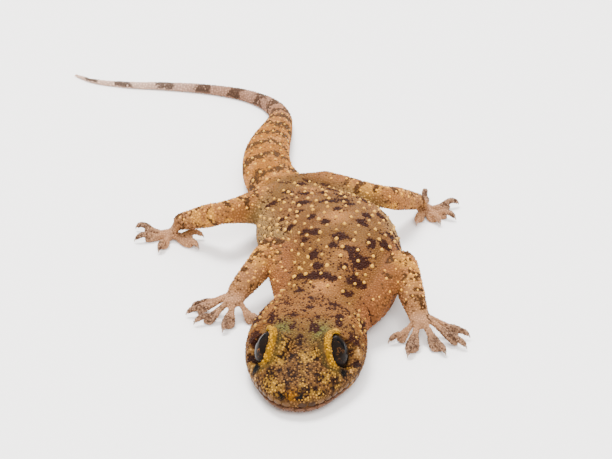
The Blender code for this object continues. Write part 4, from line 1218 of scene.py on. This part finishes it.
def leg_tubercle_places():
    """Places, normals and ways of the legs' tubercles: staggered rows of three over each leg's upper side,
    at the path's point plus its radius times the cosine to the left and the sine upwards."""
    places, normals, ways = [], [], []
    for path, radii in LIMB_PATHS.values():
        ahead, left = path_frame(path)
        for number, k in enumerate(range(3, 56, 3)):
            turn = np.radians(np.array([25, 75, 130]) + 25 * (number % 2)) + rng.normal(0, 0.12, 3)
            spoke = np.cos(turn)[:, None] * left[k] + np.sin(turn)[:, None] * np.cross(ahead[k], left[k])
            places.append(path[k] + radii[k] * 0.98 * spoke)
            normals.append(spoke)
            ways.append(np.tile(ahead[k], (3, 1)))
    return np.concatenate(places), np.concatenate(normals), np.concatenate(ways)


# %% [markdown]
# A tubercle that would stand inside a leg or too near an eye is left out. The others take a pale colour
# over a little of the skin's own, each with its own lightness, and their ridges lie along the body or leg.

# %% Tubercles of the trunk and the legs
at = tubercle_places()
t_places, t_normals = trunk_surface(at[:, 0], at[:, 1]), trunk_normals(at[:, 0], at[:, 1])
t_body = anatomy(t_places)
clear = (t_body["best"] > 1.15) | (t_body["s"] < 12)  # none where a leg joins the body
for eye in EYES.values():
    clear &= np.linalg.norm(t_places - eye["centre"], axis=1) > 3.0
t_places, t_normals, at = t_places[clear], t_normals[clear], at[clear]
t_size, t_left = at[:, 2], spine_at(at[:, 0])[1]
backwards = np.stack([-t_left[:, 1], t_left[:, 0], np.zeros(len(at))], -1)
pale = layered(plain("A57622", at), ("CD9533", step_up(at[:, 0], 13.0, 18.0)))
pale *= rng.uniform(0.8, 1.12, (len(at), 1))
t_colours = blend(ground_colours(t_places, anatomy(t_places))[0], pale, 0.85)

l_places, l_normals, l_ways = leg_tubercle_places()
clear = anatomy(l_places)["trunk"] > 1.08
l_places, l_normals, l_ways = l_places[clear], l_normals[clear], l_ways[clear]
l_size = rng.uniform(0.11, 0.16, len(l_places))
l_colours = layered(ground_colours(l_places, anatomy(l_places))[0], ("E5A231", 0.75))
studded("leg_tubercles", l_places, l_normals, l_size, l_size, l_colours, TUBERCLE, plate_keratin,
        1.15, l_ways)
studded("pale_tubercles", t_places, t_normals, t_size, t_size * 0.95, t_colours, TUBERCLE, plate_keratin,
        1.2, backwards)

# %% [markdown]
# Now every region gets its beads. None stands inside a tubercle or at the floor, and each has its own grain,
# which makes it dark or not, its own lightness and its own size.

# %% Bead scales over every region
stood, stood_size = np.concatenate([t_places, l_places]), np.concatenate([t_size, l_size])
for number, (name, (spacing, tall, slot)) in enumerate(REGIONS.items()):
    places, normals = scattered(skin, name, number, spacing, 3 + number)
    keep = places[:, 2] > 0.05
    for start in range(0, len(places), 4000):
        part = places[start : start + 4000]
        near = np.linalg.norm(part[:, None] - stood[None], axis=2) < stood_size[None] * 0.95
        keep[start : start + 4000] &= ~near.any(axis=1)
    places, normals = places[keep], normals[keep]
    colours = markings(places, anatomy(places), rng.uniform(0, 1, len(places)))
    colours *= rng.uniform(0.82, 1.16, (len(places), 1))
    radius = spacing * 0.5 * rng.uniform(0.88, 1.1, len(places))
    studded("bead_scales_" + name, places, normals, radius, radius * tall, colours, BEAD, scale_keratin)

# %% [markdown]
# ## Lip plates
#
# Along both lips a gecko has one row of larger smooth plates. Each plate is a low pillow set on the head's
# side at the height of its row.


# %% Plates along the lips
def lip_place(s, side, height):
    """A point on the head's side at a height: the section's superellipse solved for its width there."""
    rise, power, half, _ = rise_at(s, height)
    out = (1 - np.clip(rise, 0, 0.999) ** power) ** (1 / power)
    centre, left = spine_at(s)
    flat = centre + (side * (half - SKIN_INSET) * out)[..., None] * left
    return np.concatenate([flat, height[..., None]], axis=-1)


def lip_row(above, spacing, count):
    """Places, normals and directions of one row of plates on both sides, and the gap between two of them. A
    normal is a small step backwards crossed with a small step upwards, and on the right side its reverse."""
    fine = np.linspace(0.0, 9.4, 400)
    line = lip_place(fine, 1.0, mouth_height(fine) + above)
    run = np.concatenate([[0], np.cumsum(np.linalg.norm(np.diff(line, axis=0), axis=1))])
    marks = (np.arange(count) + 0.5) / count * min(run[-1] * 0.97, spacing * count)
    s = np.interp(marks, run, fine)
    height, rows = mouth_height(s) + above, []
    for side in (1.0, -1.0):
        before = lip_place(np.maximum(s - 0.05, 0.0), side, height)
        backwards = lip_place(s + 0.05, side, height + 0.05 * MOUTH_RISE) - before
        upwards = lip_place(s, side, height + 0.05) - lip_place(s, side, height - 0.05)
        rows.append((lip_place(s, side, height), side * unit(np.cross(backwards, upwards)), backwards))
    return *(np.concatenate(parts) for parts in zip(*rows)), marks[1] - marks[0]


PLATE = dome(10, ((1.0, -0.8), (0.93, 0.35), (0.62, 0.85)))
PLATE_SPACING, PLATE_HEIGHT = 1.15, 0.1
LIP_ROWS = (  # height over the mouth line, half height, plates on each side, colour
    ("upper", 0.27, 0.21, 13, "49311D"),
    ("lower", -0.26, 0.2, 11, "543828"),
)
for row, above, tall, count, hex_colour in LIP_ROWS:
    places, normals, lies, gap = lip_row(above, PLATE_SPACING, count)
    own = markings(places, anatomy(places), rng.uniform(0, 1, len(places)))
    colours = layered(own, (hex_colour, 0.5)) * rng.uniform(0.6, 1.1, (len(places), 1))
    sizes, heights = np.full(len(places), tall), np.full(len(places), PLATE_HEIGHT)
    studded("lip_plates_" + row, places, normals, sizes, heights, colours, PLATE, plate_keratin,
            gap * 0.49 / tall, lies)

# %% [markdown]
# ## Eyes
#
# A gecko's eye has no moving lid: a clear fixed scale covers it, so it is glossy all over. By day the pupil
# is an upright slit with a wavy edge, in a dark grey-brown iris veined with copper. The eye is a flattened
# ball that fills its socket. Its material reads the ball's own flat coordinates, stored as a UV map.

# %% Eyes
PUPIL_HALF_WIDTH, PUPIL_HALF_HEIGHT = 0.13, 0.72  # in the eye's radii


def two_tone(tree, share, *stops):
    """A colour ramp with two stops, each a place and a hex colour."""
    ramp = add_node(tree, "ShaderNodeValToRGB", inputs={0: share})
    for element, (place, hex_colour) in zip(ramp.color_ramp.elements, stops):
        element.position, element.color = place, paint(hex_colour)
    return ramp.outputs[0]


def eye_material():
    """A wet eye: dark iris with copper veins and a darker rim, and a black slit whose edge is a sine wave,
    all smooth as glass. Its sheen is low, because the photo shows only a small dim light in it."""
    made, tree, shader = new_material("wet_eye_under_clear_scale")

    def worked(operation, *values):
        """One step of arithmetic on sockets or numbers."""
        return add_node(tree, "ShaderNodeMath", {"operation": operation}, dict(enumerate(values))).outputs[0]

    def mixed(share, first, second):
        """From the first colour to the second by a share."""
        colours = {"Factor": share, "A": first, "B": second}
        return add_node(tree, "ShaderNodeMix", {"data_type": "RGBA"}, colours).outputs[2]

    flat = add_node(tree, "ShaderNodeUVMap", {"uv_map": "iris"}).outputs[0]
    across, upward, _ = add_node(tree, "ShaderNodeSeparateXYZ", inputs={0: flat}).outputs
    wave = worked("SINE", worked("MULTIPLY", upward, 21.0))
    edge = worked("MULTIPLY_ADD", wave, 0.018, PUPIL_HALF_WIDTH)
    slit = worked("LESS_THAN", worked("ABSOLUTE", across), edge)
    tall = worked("LESS_THAN", worked("ABSOLUTE", upward), PUPIL_HALF_HEIGHT)
    pupil = worked("MULTIPLY", slit, tall)
    noise = {"Vector": flat, "Scale": 3.4, "Detail": 6.0, "Roughness": 0.65, "Distortion": 1.0}
    veins = add_node(tree, "ShaderNodeTexNoise", inputs=noise).outputs["Fac"]
    middle = add_node(tree, "ShaderNodeVectorMath", {"operation": "LENGTH"}, {0: flat}).outputs["Value"]
    iris = mixed(ranged(tree, middle, 0.0, 1.0, 0.62, 0.86),
                 two_tone(tree, veins, (0.55, "16110E"), (0.72, "6A4220")), paint("15100D"))
    fill(shader, {"Base Color": mixed(pupil, iris, (0.002, 0.002, 0.002, 1)), "Roughness": 0.06, "IOR": 1.38,
                  "Specular IOR Level": 0.04})
    return made


wet_eye = eye_material()
for name, eye in EYES.items():
    tilt, turn = np.linspace(0.02, 1.75, 40)[:, None, None], turns(56)[None, :, None]
    x, y = np.sin(tilt) * np.cos(turn), np.sin(tilt) * np.sin(turn)
    wide = EYE_RADIUS * (x * eye["across"] + y * eye["over"])
    ball = eye["centre"] + wide + EYE_BULGE * np.cos(tilt) * eye["look"]
    points, *faces = closed_tube(ball)
    made = new_mesh("eye_ball_" + name, points, *faces)
    flat = np.concatenate([np.concatenate([x, y], -1).reshape(-1, 2), np.zeros((2, 2))])
    give_flat_map(made, "iris", flat, *faces)
    made.data.materials.append(wet_eye)
    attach(made, "root")
    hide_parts("eye_" + name)
print("eye bulge, mm:", EYE_BULGE)

# %% [markdown]
# ## Lid scales
#
# Two rows of small scales stand over the upper half of each eye as a yellow brow fringe, and fade into the
# skin's own colour behind it. They are domes again, set round a circle in the plane of the eye's opening.

# %% Scales over the eyes
LID_ROWS = (  # distance from the line of sight, how far out, size, lean
    (1.70, 0.48, 0.11, 0.35),
    (1.87, 0.52, 0.125, 0.9),
)
LID_COUNT = 19

for name, eye in EYES.items():
    for number, (reach, outwards, size, lean) in enumerate(LID_ROWS):
        turn = math.radians(-25) + (np.arange(LID_COUNT) + 0.5 * number) / LID_COUNT * math.pi
        spoke = np.cos(turn)[:, None] * eye["ahead"] + np.sin(turn)[:, None] * eye["over"]
        top = np.clip(np.sin(turn), 0, 1)
        places = eye["centre"] + reach * spoke + (outwards - 0.12 * (1 - top))[:, None] * eye["look"]
        dull = ground_colours(places, anatomy(places))[0] * 0.6
        yellow = linear("AA7A09") * rng.uniform(0.7, 1.15, (LID_COUNT, 1))
        colours = blend(dull, yellow, step_up(np.sin(turn) + 0.7 * np.cos(turn), -0.1, 0.35))
        sizes, heights = size * (0.75 + 0.35 * top), 0.13 * (0.7 + 0.5 * top)
        studded(f"lid_scales_{name}_{number + 1}", places, unit(spoke * lean + eye["look"]), sizes, heights,
                colours, BEAD, scale_keratin)

# %% [markdown]
# ## Claws
#
# Each claw is a thin hook of streaked brown horn at the end of the last bone. It is a tapering tube that
# bends down to the floor.

# %% Claws
horn, tree, shader = new_material("translucent_brown_horn")
# thin grown horn: smooth, streaked, and light goes a little way into it
streaks = two_tone(tree, speckle_of(tree, 0.15, 2.0), (0.0, "5A4232"), (1.0, "A08670"))
fill(shader, {
    "Base Color": streaks, "Roughness": 0.3, "Subsurface Weight": 0.25, "Subsurface Scale": 0.2 * MM,
})
share = np.linspace(0, 1, 12)  # from a claw's root to its tip
past = 0.84 + 0.26 * np.sin(share * 1.5)
height = 0.6 - 0.42 * share**1.25
radius = 0.125 * (1 - share) ** 0.8 + 0.012
claw_rings = []
for toe in TOES:
    path = toe["root"] + toe["heading"] * (toe["length"] + past)[:, None] + UP * height[:, None]
    claw_rings.append(rings_along(path, radius, 8))
claws = new_mesh("claws", *joined(claw_rings))
claws.data.materials.append(horn)
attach(claws, "root")
print("claws:", len(claw_rings))

# %% [markdown]
# ## Floor
#
# The gecko stands on a wide sheet of plain white paper.

# %% Floor
HALF_FLOOR = 1.2  # metres
floor = new_mesh("floor", np.array([(-1, -1, 0), (1, -1, 0), (1, 1, 0), (-1, 1, 0)]) * HALF_FLOOR / MM,
                 np.array([(0, 1, 2, 3)]))
paper, tree, shader = new_material("white_seamless_paper")
# matt uncoated paper: it gives back the light evenly and keeps the shadow under the gecko pale
fill(shader, {"Base Color": paint("FBF8F6"), "Roughness": 0.85})
floor.data.materials.append(paper)
print("floor, m:", 2 * HALF_FLOOR)

# %% [markdown]
# ## Light
#
# Soft light comes from all round and most from above, so the shadow is faint and close. Three large square
# lights add the form: the key from behind and above, a fill from the camera's side, and one low at the back.

# %% Light
world = bpy.data.worlds.new("soft_studio")
bpy.context.scene.world = world
world.use_nodes = True
sky = world.node_tree
direction = add_node(sky, "ShaderNodeTexCoord").outputs["Generated"]
upward = add_node(sky, "ShaderNodeSeparateXYZ", inputs={0: direction}).outputs[2]
fill(sky.nodes["Background"], {
    "Color": (1.0, 0.99, 0.98, 1), "Strength": ranged(sky, upward, 0.6, 1.4, 0.0, 0.8),
})


def soft_box(name, place, size, power):
    """A square area light that faces the gecko: place and size in metres, power in watts."""
    light = bpy.data.lights.new(name, "AREA")
    light.size = size
    light.energy = power
    made = bpy.data.objects.new(name, light)
    made.location = place
    made.rotation_euler = (-Vector(place)).to_track_quat("-Z", "Y").to_euler()
    bpy.context.scene.collection.objects.link(made)


soft_box("key", (-0.08, 0.14, 0.45), 0.2, 5.0)
soft_box("fill", (0.06, -0.4, 0.34), 0.3, 4.5)
soft_box("back", (0.1, 0.45, 0.3), 0.3, 1.7)

# %% [markdown]
# ## Camera
#
# A long lens looks down at the face by 24.5 degrees, from where the photograph was taken. Its focal length
# is known from the photo in picture points, and the sensor's width turns it into millimetres.

# %% Camera
SENSOR, PICTURE_WIDTH, FOCAL_POINTS = 36.0, 612, 2300
DOWNWARDS = math.radians(24.5)
camera_data = bpy.data.cameras.new("camera")
camera_data.sensor_width = SENSOR
camera_data.lens = SENSOR * FOCAL_POINTS / PICTURE_WIDTH
camera_data.clip_start = 0.01
camera = bpy.data.objects.new("camera", camera_data)
camera.location = (0.0057, -0.2117, 0.09543)
camera.rotation_euler = (math.radians(90) - DOWNWARDS, 0, 0)
bpy.context.scene.collection.objects.link(camera)
bpy.context.scene.camera = camera
print("lens, mm:", round(camera_data.lens, 1))

# %% [markdown]
# ## Finish
#
# The scene is brought up to date.

# %% Finish
bpy.context.view_layer.update()
